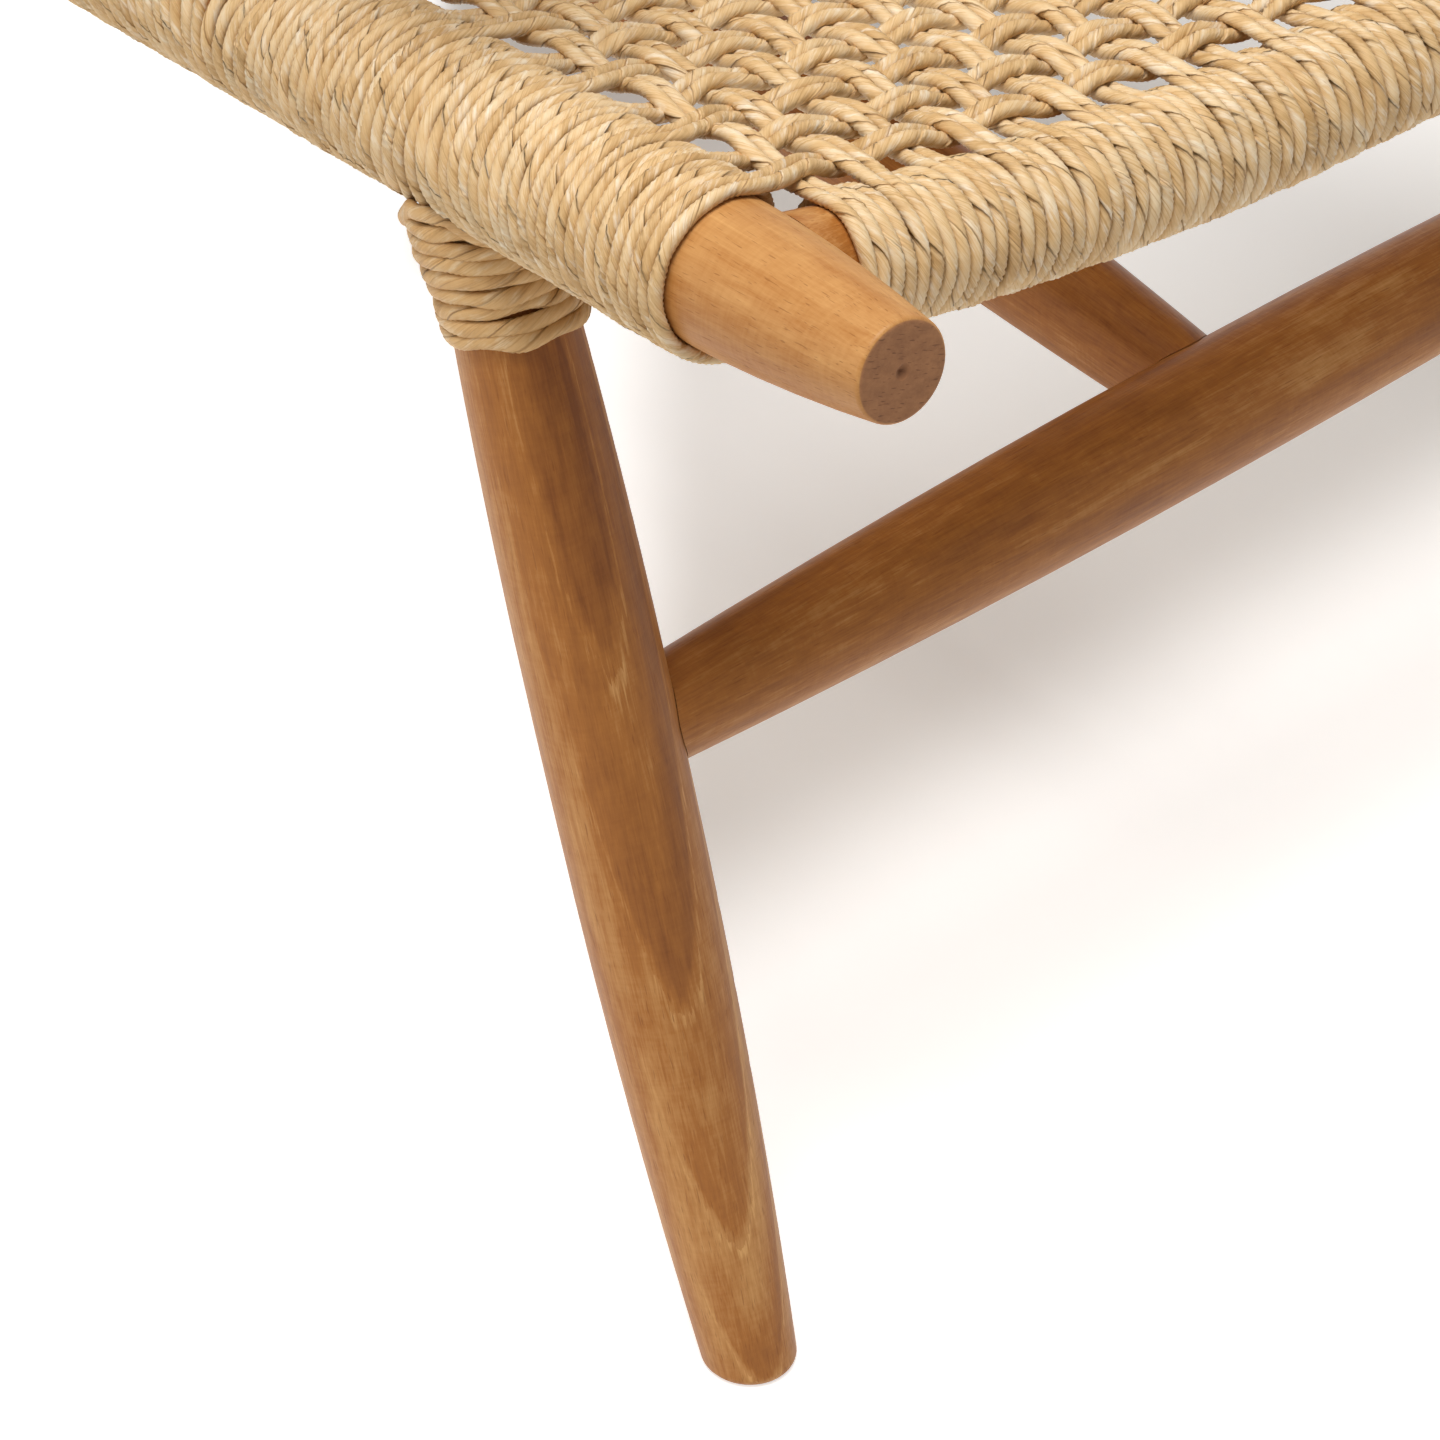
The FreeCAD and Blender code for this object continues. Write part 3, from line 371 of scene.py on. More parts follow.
def seatMiddle(x, y):                                 # height of the field's middle surface
    back = backShare(y)
    span = rearY - frontY
    fade = np.cosh(seat["flatten"] * span * (back - 0.5)) / cosh(seat["flatten"] * span / 2)
    dip = chair["dip"] + (rearDip - chair["dip"]) * back
    drop = dip - x ** 2 / (2 * frontRail["bend"])
    inside = chair["tipHalfWidth"] - (y - tipY) * np.tan(chair["splay"]) - np.abs(x)
    climb = seat["edgeRise"] * np.exp(-inside / seat["edgeReach"])
    return chair["tipHeight"] + (y - tipY) * railFall - fade * drop + seat["midRise"] + climb


def columnCentre(plan, rail, pair):                   # middle of a pair on top of its rail
    x = pairMiddle(plan, pair)
    return x + chair["crossCord"] * bentNormal(rail, x)[0]


columnFront = np.array([columnCentre(frontPlan, frontRail, c) for c in range(seat["columns"])])
columnRear = np.array([columnCentre(rearPlan, rearRail, c) for c in range(seat["columns"])])


def columnsAt(y):
    return columnFront + (columnRear - columnFront) * backShare(y)


# the rows run straight across, evenly spaced
rowPlaces = np.linspace(seat["firstRow"], chair["railLength"] - seat["firstRow"], seat["rows"])
rowPlaces = tipY + rowPlaces * railDirection(-1)[1]


def railBasis(side):
    way = railDirection(side)
    inward = unit(np.cross(way, vec(0, 0, 1))) * -side
    outward = np.cross(inward, way) * -side
    if outward[2] < 0:
        outward = -outward
    return way, inward, outward


# a cord's turn on a side rail, with the places parted round the posts
def sideTurn(side, distance, start, stop, pitchShare):
    way, inward, outward = railBasis(side)
    angle, points = arcRun(railAt(side, 0), inward, outward, chair["sideCord"], start, stop)
    moved, crowd = partRound(distance, angle, chair["sideCord"])
    points = points + moved[:, None] * way
    aside = np.cross(inward, outward) * (1 if stop < start else -1)
    return points, np.broadcast_to(aside, points.shape), crowd * pitchShare


# a cord's whole run: a turn, the field and another turn
def joinRun(first, field, fieldSide, last):
    fieldSide = np.broadcast_to(fieldSide, field.shape)
    counts = len(first[0]), len(field), len(last[0])
    ease = np.minimum(np.arange(counts[1]), np.arange(counts[1])[::-1]) / seat["easeSteps"]
    ease = np.clip(ease, 0, 1)
    spread = np.interp(ease, [0, 1], [first[2][-1], seat["fieldWide"]])
    rise = np.concatenate([np.ones(counts[0]), 1 + (seat["fieldTall"] - 1) * ease, np.ones(counts[2])])
    return {"points": np.concatenate([first[0], field, last[0]]),
            "side": np.concatenate([first[1], fieldSide, last[1]]),
            "spread": np.concatenate([first[2], spread, last[2]]), "rise": rise}


def seatRow(wrap):
    pair, which, distance = wrap.pair, wrap.which, wrap.at
    share, nudge = wrap.pitch / cord["width"], seat["nudge"]
    left = railAt(-1, distance)
    y = rowPlaces[pair] + which * seat["pairGap"]
    columns = columnsAt(y)
    signs = np.where((pair + np.arange(seat["columns"])) % 2 == 0, 1, -1)
    heights = seatMiddle(columns, y) + signs * seat["wave"]
    slopes = (seatMiddle(columns + nudge, y) - seatMiddle(columns - nudge, y)) / (2 * nudge)
    leave = leaveAngle(columns[0] - left[0], heights[0] - left[2], chair["sideCord"])
    first = sideTurn(-1, distance, seat["innerEnd"], leave, share)
    last = sideTurn(1, distance, leave, seat["innerEnd"], share)
    begin, end = first[0][-1], last[0][0]
    startSlope = (heights[0] - begin[2]) / (columns[0] - begin[0])
    endSlope = (end[2] - heights[-1]) / (end[0] - columns[-1])
    x = np.linspace(begin[0], end[0], seat["rowSteps"])[1:-1]
    z = smoothThrough([begin[0], *columns, end[0]], [begin[2], *heights, end[2]],
                      [startSlope, *slopes, endSlope], x)
    fanned = [begin[0], begin[0] + seat["fan"], end[0] - seat["fan"], end[0]]
    ys = smoothThrough(fanned, [begin[1], y, y, end[1]], [0.0] * 4, x)
    return joinRun(first, np.stack([x, ys, z], 1), vec(0, -1, 0), last)


def crossTurn(rail, x, start, stop, share):
    outward = bentNormal(rail, x)
    inward = rail["along"]
    points = arcRun(bentPoint(rail, x), inward, outward, chair["crossCord"], start, stop)[1]
    aside = np.cross(inward, outward) * (1 if stop < start else -1)
    return points, np.broadcast_to(aside, points.shape), np.full(len(points), share)


def seatColumn(pair, which):
    front, rear = (weaveWrap(plan, pair, which) for plan in (frontPlan, rearPlan))
    rows, nudge = rowPlaces, seat["nudge"]
    x = columnFront[pair] + (columnRear[pair] - columnFront[pair]) * backShare(rows) + which * seat["pairGap"]
    signs = np.where((pair + np.arange(seat["rows"])) % 2 == 0, -1, 1)
    heights = seatMiddle(x, rows) + signs * seat["wave"]
    slopes = (seatMiddle(x, rows + nudge) - seatMiddle(x, rows - nudge)) / (2 * nudge)
    frontZ, rearZ = bentPoint(frontRail, front.at)[2], bentPoint(rearRail, rear.at)[2]
    leaveFront = leaveAngle(rows[0] - frontY, heights[0] - frontZ, chair["crossCord"])
    leaveRear = leaveAngle(rearY - rows[-1], heights[-1] - rearZ, chair["crossCord"])
    first = crossTurn(frontRail, front.at, seat["innerEnd"], leaveFront, front.pitch / cord["width"])
    last = crossTurn(rearRail, rear.at, leaveRear, seat["innerEnd"], rear.pitch / cord["width"])
    begin, end = first[0][-1], last[0][0]
    startSlope = (heights[0] - begin[2]) / (rows[0] - begin[1])
    endSlope = (end[2] - heights[-1]) / (end[1] - rows[-1])
    y = np.linspace(begin[1], end[1], seat["columnSteps"])[1:-1]
    z = smoothThrough([begin[1], *rows, end[1]], [begin[2], *heights, end[2]],
                      [startSlope, *slopes, endSlope], y)
    xs = np.interp(y, [begin[1], *rows, end[1]], [begin[0], *x, end[0]])
    return joinRun(first, np.stack([xs, y, z], 1), vec(1, 0, 0), last)


# plain turns between the pairs, each moving on by its own pitch
def plainWraps(plan):
    return [wrap for wrap in plan if wrap.kind == "plain"]


def sideFillers(side):
    runs = []
    way, inward, outward = railBasis(side)
    start = seat["innerEnd"] - 2 * pi
    for wrap in plainWraps(railPlan):
        angle, points = arcRun(railAt(side, 0), inward, outward, chair["sideCord"], start, start + 2 * pi)
        slant = np.linspace(-0.5, 0.5, len(angle)) * wrap.pitch
        moved, crowd = partRound(wrap.at, angle, chair["sideCord"])
        points = points + (moved + slant)[:, None] * way
        aside = np.broadcast_to(np.cross(outward, inward), points.shape)
        runs.append({"points": points, "side": aside, "spread": crowd * wrap.pitch / cord["width"],
                     "rise": np.ones(len(points))})
    return runs


def crossFillers(rail, plan):
    runs = []
    start = seat["innerEnd"] - 2 * pi
    for wrap in plainWraps(plan):
        points, aside, spread = crossTurn(rail, wrap.at, start, start + 2 * pi, wrap.pitch / cord["width"])
        points = points + np.linspace(-0.5, 0.5, len(points))[:, None] * wrap.pitch * vec(1, 0, 0)
        runs.append({"points": points, "side": aside, "spread": spread, "rise": np.ones(len(points))})
    return runs


# back: upright pairs over its two rails, level pairs looped round the outermost uprights
back = {
    "columns": 22, "rows": 14, "start": 0.031, "firstRow": 0.027, "plainTurns": (2,),
    "loopReach": 2.2,                                 # loops past the outermost pair, in gaps of a pair
    "columnSteps": 300, "rowSteps": 420, "loopSteps": 12,
}
halfBack = lowerRail["half"] - back["start"]
backPlan = wrapPlan(-halfBack, halfBack, back["columns"], back["plainTurns"])
backSpan = chair["backTop"] - chair["backLower"]
backRows = np.linspace(back["firstRow"], backSpan - back["firstRow"], back["rows"])
backColumns = np.array([pairMiddle(backPlan, c) for c in range(back["columns"])])


def backSurface(x, rise):                             # middle of the back's weave, from the lower rail up
    return bentPoint(lowerRail, x) + seat["midRise"] * bentNormal(lowerRail, x) + rise * postWay


def backColumn(pair, which):
    wrap = weaveWrap(backPlan, pair, which)
    x, share = wrap.at, wrap.pitch / cord["width"]
    normal = bentNormal(lowerRail, x)
    signs = np.where((pair + np.arange(back["rows"])) % 2 == 0, -1, 1)
    depth = seat["midRise"] + signs * seat["wave"]
    leaveLow = leaveAngle(backRows[0], depth[0], chair["crossCord"])
    leaveTop = leaveAngle(backSpan - backRows[-1], depth[-1], chair["crossCord"])
    first = crossTurn(lowerRail, x, seat["innerEnd"], leaveLow, share)
    last = crossTurn(topRail, x, leaveTop, seat["innerEnd"], share)
    radius = chair["crossCord"]
    knots = [radius * cos(leaveLow), *backRows, backSpan - radius * cos(leaveTop)]
    depths = [radius * sin(leaveLow), *depth, radius * sin(leaveTop)]
    slopes = [(depths[1] - depths[0]) / (knots[1] - knots[0]), *(0 * backRows),
              (depths[-1] - depths[-2]) / (knots[-1] - knots[-2])]
    rise = np.linspace(knots[0], knots[-1], back["columnSteps"])[1:-1]
    out = smoothThrough(knots, depths, slopes, rise)
    field = bentPoint(lowerRail, x) + rise[:, None] * postWay + out[:, None] * normal
    return joinRun(first, field, first[1][0], last)


def backRow(pair):
    half = seat["pairGap"] / 2
    reach = backColumns[-1] + back["loopReach"] * seat["pairGap"]
    knots = [-reach, *backColumns, reach]
    signs = [1 if (pair + c) % 2 == 0 else -1 for c in range(back["columns"])]
    depths = [0.0, *(seat["wave"] * np.array(signs)), 0.0]
    x = np.linspace(-reach, reach, back["rowSteps"])
    out = smoothThrough(knots, depths, [0.0] * len(knots), x)
    turn = np.linspace(-pi / 2, pi / 2, back["loopSteps"])[1:-1]
    rightX, rightRise = reach + half * np.cos(turn), half * np.sin(turn)
    xs = np.concatenate([x, rightX, x[::-1], -rightX])
    rises = np.concatenate([x * 0 - half, rightRise, x * 0 + half, -rightRise])
    outs = np.concatenate([out, rightX * 0, out[::-1], rightX * 0])
    xs, rises, outs = (np.append(values, values[0]) for values in (xs, rises, outs))
    normals = np.array([bentNormal(lowerRail, q) for q in xs])
    points = np.array([backSurface(q, backRows[pair] + rise) for q, rise in zip(xs, rises)])
    points = points + outs[:, None] * normals
    side = np.cross(np.gradient(points, axis=0), normals)
    return {"points": points, "side": unit(side), "spread": np.full(len(points), seat["fieldWide"]),
            "rise": np.full(len(points), seat["fieldTall"])}


# leg bindings: two layers of flattened cord wound round each leg under its rail
binding = {
    "start": 0.0225, "turns": 8, "pitch": 0.0048, "pile": 0.0, "pileEnd": 0.0,
    "outer": {"start": 0.0155, "turns": 6, "pitch": 0.0052, "pile": 0.0040, "pileEnd": 0.0012},
    "clear": 0.0021, "railReach": 0.0270, "lift": 0.0020, "pushOut": 0.25,
    "neck": 0.0160, "belly": 0.0221, "bellyDrop": 0.190,  # the leg's radii, and how far down it is fullest
    "slip": 0.00054, "slipWaves": 4, "heave": 0.0004, "stepsPerTurn": 150,
}
bindingCord = dict(cord, width=0.0057, height=0.0040, lay=0.030, swell=0.08, wander=0.00035, step=0.0018)


def legBinding(side, top, rake, seed, layer):
    rng = np.random.default_rng(seed)
    way = legWay(top, rake)
    right = vec(1, 0, 0)
    ahead = np.cross(way, right)
    turn = np.linspace(0, 2 * pi * layer["turns"], binding["stepsPerTurn"] * layer["turns"])
    slip = np.zeros(len(turn))
    for k in range(1, binding["slipWaves"] + 1):      # waves that no turn repeats
        slip += np.sin(turn * (k + 0.37) * 0.71 + rng.random() * 7) / k ** 0.5
    wound = layer["start"] + layer["pitch"] * turn / (2 * pi) + binding["slip"] * slip
    fuller = np.sin(np.clip(wound / binding["bellyDrop"], 0, 1) * pi / 2)
    radius = binding["neck"] + (binding["belly"] - binding["neck"]) * fuller + binding["clear"]
    radius = radius + binding["heave"] * np.sin(turn * 0.83 + 5 * rng.random())
    radius = radius + layer["pileEnd"] + layer["pile"] * (1 - turn / turn[-1])
    under = np.sqrt(np.maximum(binding["railReach"] ** 2 - (radius * np.cos(turn)) ** 2, 0)) + binding["lift"]
    over = np.maximum(under - wound, 0)               # held down by the rail's own wrapping
    drop = wound + over
    radius = radius + binding["pushOut"] * over
    radial = np.cos(turn)[:, None] * right + np.sin(turn)[:, None] * ahead * side
    points = top + drop[:, None] * way + radius[:, None] * radial
    tangent = np.gradient(points, axis=0)
    aside = unit(np.cross(tangent, radial))
    return {"points": points, "side": aside, "spread": np.ones(len(points)), "rise": np.ones(len(points))}


# shader maths on sockets
class Wire:
    def __init__(self, finish, socket):
        self.finish = finish
        self.socket = socket

    def __add__(self, other):
        return self.finish.maths("ADD", self, other)

    def __radd__(self, other):
        return self.finish.maths("ADD", other, self)

    def __sub__(self, other):
        return self.finish.maths("SUBTRACT", self, other)

    def __rsub__(self, other):
        return self.finish.maths("SUBTRACT", other, self)

    def __mul__(self, other):
        return self.finish.maths("MULTIPLY", self, other)

    def __rmul__(self, other):
        return self.finish.maths("MULTIPLY", other, self)

    def __truediv__(self, other):
        return self.finish.maths("DIVIDE", self, other)


# the node tree of a material or of the sky
class Finish:
    def __init__(self, holder):
        self.holder = holder
        holder.use_nodes = True
        self.tree = holder.node_tree
        self.tree.nodes.clear()

    def add(self, kind, settings=None, values=None, out=0):
        node = self.tree.nodes.new(kind)
        for key, value in (settings or {}).items():
            if key == "stops":
                ramp = node.color_ramp.elements
                while len(ramp) < len(value):
                    ramp.new(0.5)
                for stop, (place, colour) in zip(ramp, value):
                    stop.position = place
                    stop.color = (*colour, 1)
            else:
                setattr(node, key, value)
        for key, value in (values or {}).items():
            if isinstance(value, Wire):
                self.tree.links.new(value.socket, node.inputs[key])
            else:
                node.inputs[key].default_value = value
        return Wire(self, node.outputs[out]) if node.outputs else None

    def maths(self, operation, *values):
        return self.add("ShaderNodeMath", {"operation": operation}, dict(enumerate(values)))

    def noise(self, where, scale, detail=2.0, rough=0.5):
        return self.add("ShaderNodeTexNoise", None,
                        {"Vector": where, "Scale": scale, "Detail": detail, "Roughness": rough})

    def smooth(self, value, low, high, start=0.0, end=1.0):
        return self.add("ShaderNodeMapRange", {"interpolation_type": "SMOOTHSTEP"},
                        {0: value, 1: low, 2: high, 3: start, 4: end})

    def ramp(self, value, stops):
        return self.add("ShaderNodeValToRGB", {"stops": stops}, {0: value})

    def blend(self, share, a, b):
        first, second = ((*c, 1) if isinstance(c, tuple) else c for c in (a, b))
        return self.add("ShaderNodeMix", {"data_type": "RGBA"}, {0: share, 6: first, 7: second}, out=2)

    def place(self, x, y, z):
        return self.add("ShaderNodeCombineXYZ", None, {0: x, 1: y, 2: z})

    def dot(self, where, way):
        values = {0: where, 1: tuple(way)}
        return self.add("ShaderNodeVectorMath", {"operation": "DOT_PRODUCT"}, values, out=1)

    def beyond(self, where, start, way):              # how far past a point along a direction
        return self.dot(where, way) - float(np.dot(start, way))

    def seenRays(self):                               # from the camera, reflected or let through
        seen = self.add("ShaderNodeLightPath")
        path = seen.socket.node.outputs
        for ray in ("Is Glossy Ray", "Is Transmission Ray"):
            seen = self.maths("MAXIMUM", seen, Wire(self, path[ray]))
        return seen

    def done(self, colour, rough, normal, specular):
        values = {"Base Color": colour, "Roughness": rough, "Normal": normal, "Specular IOR Level": specular}
        shader = self.add("ShaderNodeBsdfPrincipled", None, values)
        self.add("ShaderNodeOutputMaterial", None, {0: shader})
        return self.holder


# straw-coloured twisted cord
straw = {
    "dark": (0.47, 0.268, 0.093), "middle": (0.72, 0.492, 0.245), "pale": (0.88, 0.735, 0.505),
    # seam is the colour of the painted shade in the seam's crease
    "bleachAndGlint": (0.95, 0.89, 0.76), "seam": (0.30, 0.155, 0.055), "seamWidth": 0.026,
    "roughness": 0.50, "specular": 0.33,
    # noise on the cord: scale along it in metres, scale round it in turns, detail, roughness
    "patches": (95.0, 2.2, 3.0, 0.55), "fibres": (42.0, 26.0, 2.0, 0.60), "fine": (160.0, 90.0, 2.0, 0.60),
    # where the pale patches come: partly the paper's bleaching, partly painted highlights
    "wearAndGlints": (90.0, 4.5, 4.0, 0.65),
    "ragged": 130.0, "faint": 38.0,                   # scales along the seam: its edge, and where it fades
}
boundStraw = dict(straw, dark=(0.42, 0.222, 0.075), middle=(0.64, 0.390, 0.162), pale=(0.79, 0.58, 0.32),
                  bleachAndGlint=(0.84, 0.70, 0.47))


def strawFinish(name, shades):
    f = Finish(bpy.data.materials.new(name))
    run = f.add("ShaderNodeUVMap", {"uv_map": "cordRun"})
    along = f.add("ShaderNodeSeparateXYZ", None, {0: run})
    turn = Wire(f, along.socket.node.outputs[1])
    tone = f.add("ShaderNodeAttribute", {"attribute_name": "cordTone"}, out=2)
    seed = tone * 91.0

    def flecks(kind):
        alongScale, roundScale, detail, rough = shades[kind]
        return f.noise(f.place(along * alongScale, turn * roundScale, seed), 1.0, detail, rough)

    patches, fibres, fine, wearAndGlints = map(flecks, ("patches", "fibres", "fine", "wearAndGlints"))
    mix = patches * 0.62 + fibres * 0.42 + tone * 0.16 - 0.10
    colour = f.ramp(mix, [(0.25, shades["dark"]), (0.50, shades["middle"]), (0.80, shades["pale"])])
    # pale patches, partly bleached paper and partly painted highlights on the fibres
    colour = f.blend(f.smooth(wearAndGlints, 0.50, 0.72) * 0.58, colour, shades["bleachAndGlint"])
    # the seam: painted shade in its crease, a dark brown line, dark in places, ragged along its edge
    edge = f.maths("MINIMUM", turn, 1 - turn)
    ragged = f.noise(f.place(along * shades["ragged"], seed, 3.1), 1.0, 2.0, 0.5)
    strength = f.smooth(f.noise(f.place(along * shades["faint"], seed, 9.7), 1.0), 0.36, 0.58)
    seam = f.smooth(edge, shades["seamWidth"] * 0.25, shades["seamWidth"] * (0.7 + 0.6 * ragged), 1.0, 0.0)
    seam = seam * (0.12 + 0.60 * strength)
    colour = f.blend(seam, colour, shades["seam"])
    lines = f.smooth(fibres, 0.32, 0.44, 1.0, 0.0) * 0.40
    colour = f.blend(lines, colour, shades["dark"])
    height = fibres * 0.55 + fine * 0.25 + patches * 0.2 - seam * 0.8
    normal = f.add("ShaderNodeBump", None, {"Strength": 0.55, "Distance": 0.0006, "Height": height})
    rough = shades["roughness"] + 0.14 * (fibres - 0.5)
    return f.done(colour, rough, normal, shades["specular"])


# oiled teak: growth rings round a heart off to one side, streaks along each member, end grain on sawn ends
teak = {
    "pale": (0.66, 0.365, 0.135), "middle": (0.38, 0.144, 0.029), "deep": (0.20, 0.062, 0.011),
    "endPale": (0.36, 0.170, 0.078), "endDark": (0.17, 0.074, 0.036), "roughness": 0.40, "specular": 0.23,
    "ringPitch": 0.0060, "ringStart": 0.0030, "coreAndShadeDepth": (0.004, 0.016),
    "shownFrom": (-0.013, 0.009), "faintest": 0.22,   # where the rings come out, and how faint before
    "swayBy": 0.006, "streakBy": 0.0009, "raggedBy": 0.0008,  # how far noise shifts the rings
    "centreMark": (0.0045, 0.0035), "centreShade": (0.0030, 0.0008),
}
# noise in the wood: two scales across the grain and one along it, per metre, then detail and roughness
grain = {
    "sway": (12.0, 12.0, 6.0, 2.0, 0.5), "broad": (70.0, 70.0, 9.0, 2.0, 0.5),
    "streaks": (420.0, 420.0, 17.0, 3.0, 0.6), "mottle": (210.0, 210.0, 75.0, 3.0, 0.6),
    "ragged": (900.0, 900.0, 45.0, 2.0, 0.6), "fibre": (1500.0, 1500.0, 60.0, 2.0, 0.6),
    "pores": (1900.0, 1900.0, 120.0, 1.0, 0.5), "ripple": (130.0, 130.0, 820.0, 2.0, 0.5),
    "speck": (900.0, 900.0, 1.0, 3.0, 0.6), "blotch": (150.0, 260.0, 1.0, 3.0, 0.6),
    "scratch": (260.0, 1500.0, 1.0, 1.0, 0.5),
}


# heart is the way from the axis to the heart, lean tilts the rings along the member, the core term darkens
# the outer rings and, by the lean, the member's start, partly the wood's tone and on the legs painted shade
# under the seat; clear is the side where the rings stand out
def teakFinish(name, start, way, wood):
    f = Finish(bpy.data.materials.new(name))
    way = unit(np.array(way, float))
    across = unit(np.cross(way, vec(0.31, 0.52, 0.79)))
    upward = np.cross(way, across)
    where = f.add("ShaderNodeTexCoord", None, None, out=3)
    a, b, u = (f.beyond(where, start, axis) for axis in (across, upward, way))

    def figured(kind, bend=0.0):
        scaleA, scaleB, scaleU, detail, rough = grain[kind]
        return f.noise(f.place(a * scaleA, b * scaleB, u * scaleU + bend), 1.0, detail, rough)

    streaks, ragged, broad, mottle, fibre = map(figured, ("streaks", "ragged", "broad", "mottle", "fibre"))
    sway = figured("sway") - 0.5
    ripple = figured("ripple", sway * 30.0)
    pores = f.smooth(figured("pores"), 0.64, 0.74)
    # growth rings: a soft dark stretch after each line, and the pale line itself
    heart = np.array(wood["heart"])
    ringA, ringB = a - float(np.dot(heart, across)), b - float(np.dot(heart, upward))
    fromHeart = f.maths("SQRT", ringA * ringA + ringB * ringB)
    depth = fromHeart - float(np.linalg.norm(heart)) - u * wood["lean"] + sway * teak["swayBy"]
    depth = depth + (streaks - 0.5) * teak["streakBy"] + (ragged - 0.5) * teak["raggedBy"]
    phase = f.maths("FRACT", (depth + teak["ringStart"]) / teak["ringPitch"] + 20.0)
    late = f.smooth(phase, 0.10, 0.80, 1.0, 0.0) * f.smooth(phase, 0.02, 0.10)
    line = f.smooth(phase, 0.92, 0.98) * f.smooth(ragged, 0.35, 0.65)
    clear = unit(np.array(wood["clear"], float))
    shown = f.smooth(f.beyond(where, start, clear), *teak["shownFrom"], teak["faintest"], 1.0)
    rings = (line * 0.20 - late * 0.17 + 0.05) * shown * wood["rings"]
    figure = broad * 0.46 + streaks * 0.26 + fibre * 0.32 + mottle * 0.34 - 0.69
    figure = figure + (ripple - 0.5) * wood["ripple"]
    # painted shade in part: darker far from the heart and towards the member's start, which on the legs
    # paints the seat's shade over their upper part, on top of the wood's own tone
    coreAndShade = f.smooth(depth, *teak["coreAndShadeDepth"]) * wood["coreAndShade"]
    mix = figure * wood["figure"] + rings - coreAndShade + 0.47 + wood["tone"]
    colour = f.ramp(mix, [(0.18, teak["deep"]), (0.48, teak["middle"]), (0.82, teak["pale"])])
    colour = f.blend(pores * 0.48, colour, teak["deep"])
    # sawn ends, with the mark of the lathe's centre, its hollow darkened by painted shade
    facing = f.add("ShaderNodeNewGeometry", None, None, out=1)
    square = f.maths("ABSOLUTE", f.dot(facing, way))
    fromAxis = f.maths("SQRT", a * a + b * b)
    sawn = f.maths("MAXIMUM", f.smooth(square, 0.80, 0.97), f.smooth(fromAxis, *teak["centreMark"]))
    speck, blotch = figured("speck"), figured("blotch")
    scratch = f.smooth(figured("scratch"), 0.62, 0.72)
    # the centre's darkening is painted shade in the lathe mark's hollow
    endMix = speck * 0.35 + blotch * 0.85 - scratch * 0.50 - f.smooth(fromAxis, *teak["centreShade"]) * 0.30
    endColour = f.ramp(endMix, [(0.15, teak["endDark"]), (0.75, teak["endPale"])])
    colour = f.blend(sawn, colour, endColour)
    height = fibre * 0.5 + streaks * 0.3 - pores * 0.6 + ripple * 0.45 + sawn * speck * 0.8
    normal = f.add("ShaderNodeBump", None, {"Strength": 0.22, "Distance": 0.0006, "Height": height})
    rough = teak["roughness"] + 0.10 * streaks + 0.25 * sawn + 0.10 * pores
    return f.done(colour, rough, normal, teak["specular"])


def coatWood(nodeName, start, way, wood):
    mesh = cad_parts[nodeName].data
    mesh.materials.clear()
    mesh.materials.append(teakFinish(f"teak.{nodeName}", start, way, wood))


def middleOf(nodeName):
    low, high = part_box(nodeName)
    return vec(0, (low.y + high.y) / 2, (low.z + high.z) / 2)


# the woods
legWood = {"heart": (0.0190, 0.0462, -0.0118), "lean": 0.040, "tone": 0.080, "figure": 0.9, "coreAndShade": 0.20,
           "rings": 1.0, "ripple": 0.10, "clear": (0.743, -0.614, 0.184)}
rearLegWood = dict(legWood, heart=(0.030, -0.040, -0.010), lean=0.030, coreAndShade=0.14)
tipWood = {"heart": (0.032, 0.0, 0.038), "lean": 0.01, "tone": 0.18, "figure": 0.50, "coreAndShade": 0.10,
           "rings": 0.25, "ripple": 0.20, "clear": (0.0, 0.0, 1.0)}
postWood = dict(legWood, heart=(0.030, 0.030, 0.010), lean=0.03, tone=0.02, coreAndShade=0.06)
barWood = {"heart": (0.0, 0.030, -0.045), "lean": 0.012, "tone": 0.01, "figure": 1.0, "coreAndShade": 0.04,
           "rings": 0.3, "ripple": 0.10, "clear": (0.0, 0.0, 1.0)}
railWood = dict(barWood, tone=0.06)
middleBarWood = dict(barWood, tone=-0.06)

# each wooden node: a point on its axis, its direction and its wood; the paired ones as they are on the left
legTop, armPostFoot = railAt(-1, chair["frontLeg"]), railAt(-1, chair["armPost"])
levelWay, uprightWay = vec(1, 0, 0), vec(0, 0, 1)
pairedNodes = {
    "side_rail": (railAt(-1, 0), railDirection(-1), tipWood),
    "front_leg": (legTop, legWay(legTop, -chair["frontRake"]), legWood),
    "rear_leg": (postFoot, legWay(postFoot, chair["rearRake"]), rearLegWood),
    "back_post": (postFoot, postWay, postWood),
    "arm": (armPostFoot + chair["armHeight"] * uprightWay, vec(*chair["armWay"]), tipWood),
    "arm_post": (armPostFoot, uprightWay, postWood),
}
singleNodes = {
    "front_rail": (frontEnd, levelWay, railWood),
    "rear_rail": (rearEnd, levelWay, railWood),
    "back_lower_rail": (lowerRail["end"], levelWay, railWood),
    "back_top_rail": (topRail["end"], levelWay, railWood),
    "front_stretcher": (middleOf("front_stretcher"), levelWay, barWood),
    "rear_stretcher": (middleOf("rear_stretcher"), levelWay, barWood),
    "middle_stretcher": (middleOf("middle_stretcher"), vec(*chair["middleBarWay"]), middleBarWood),
}
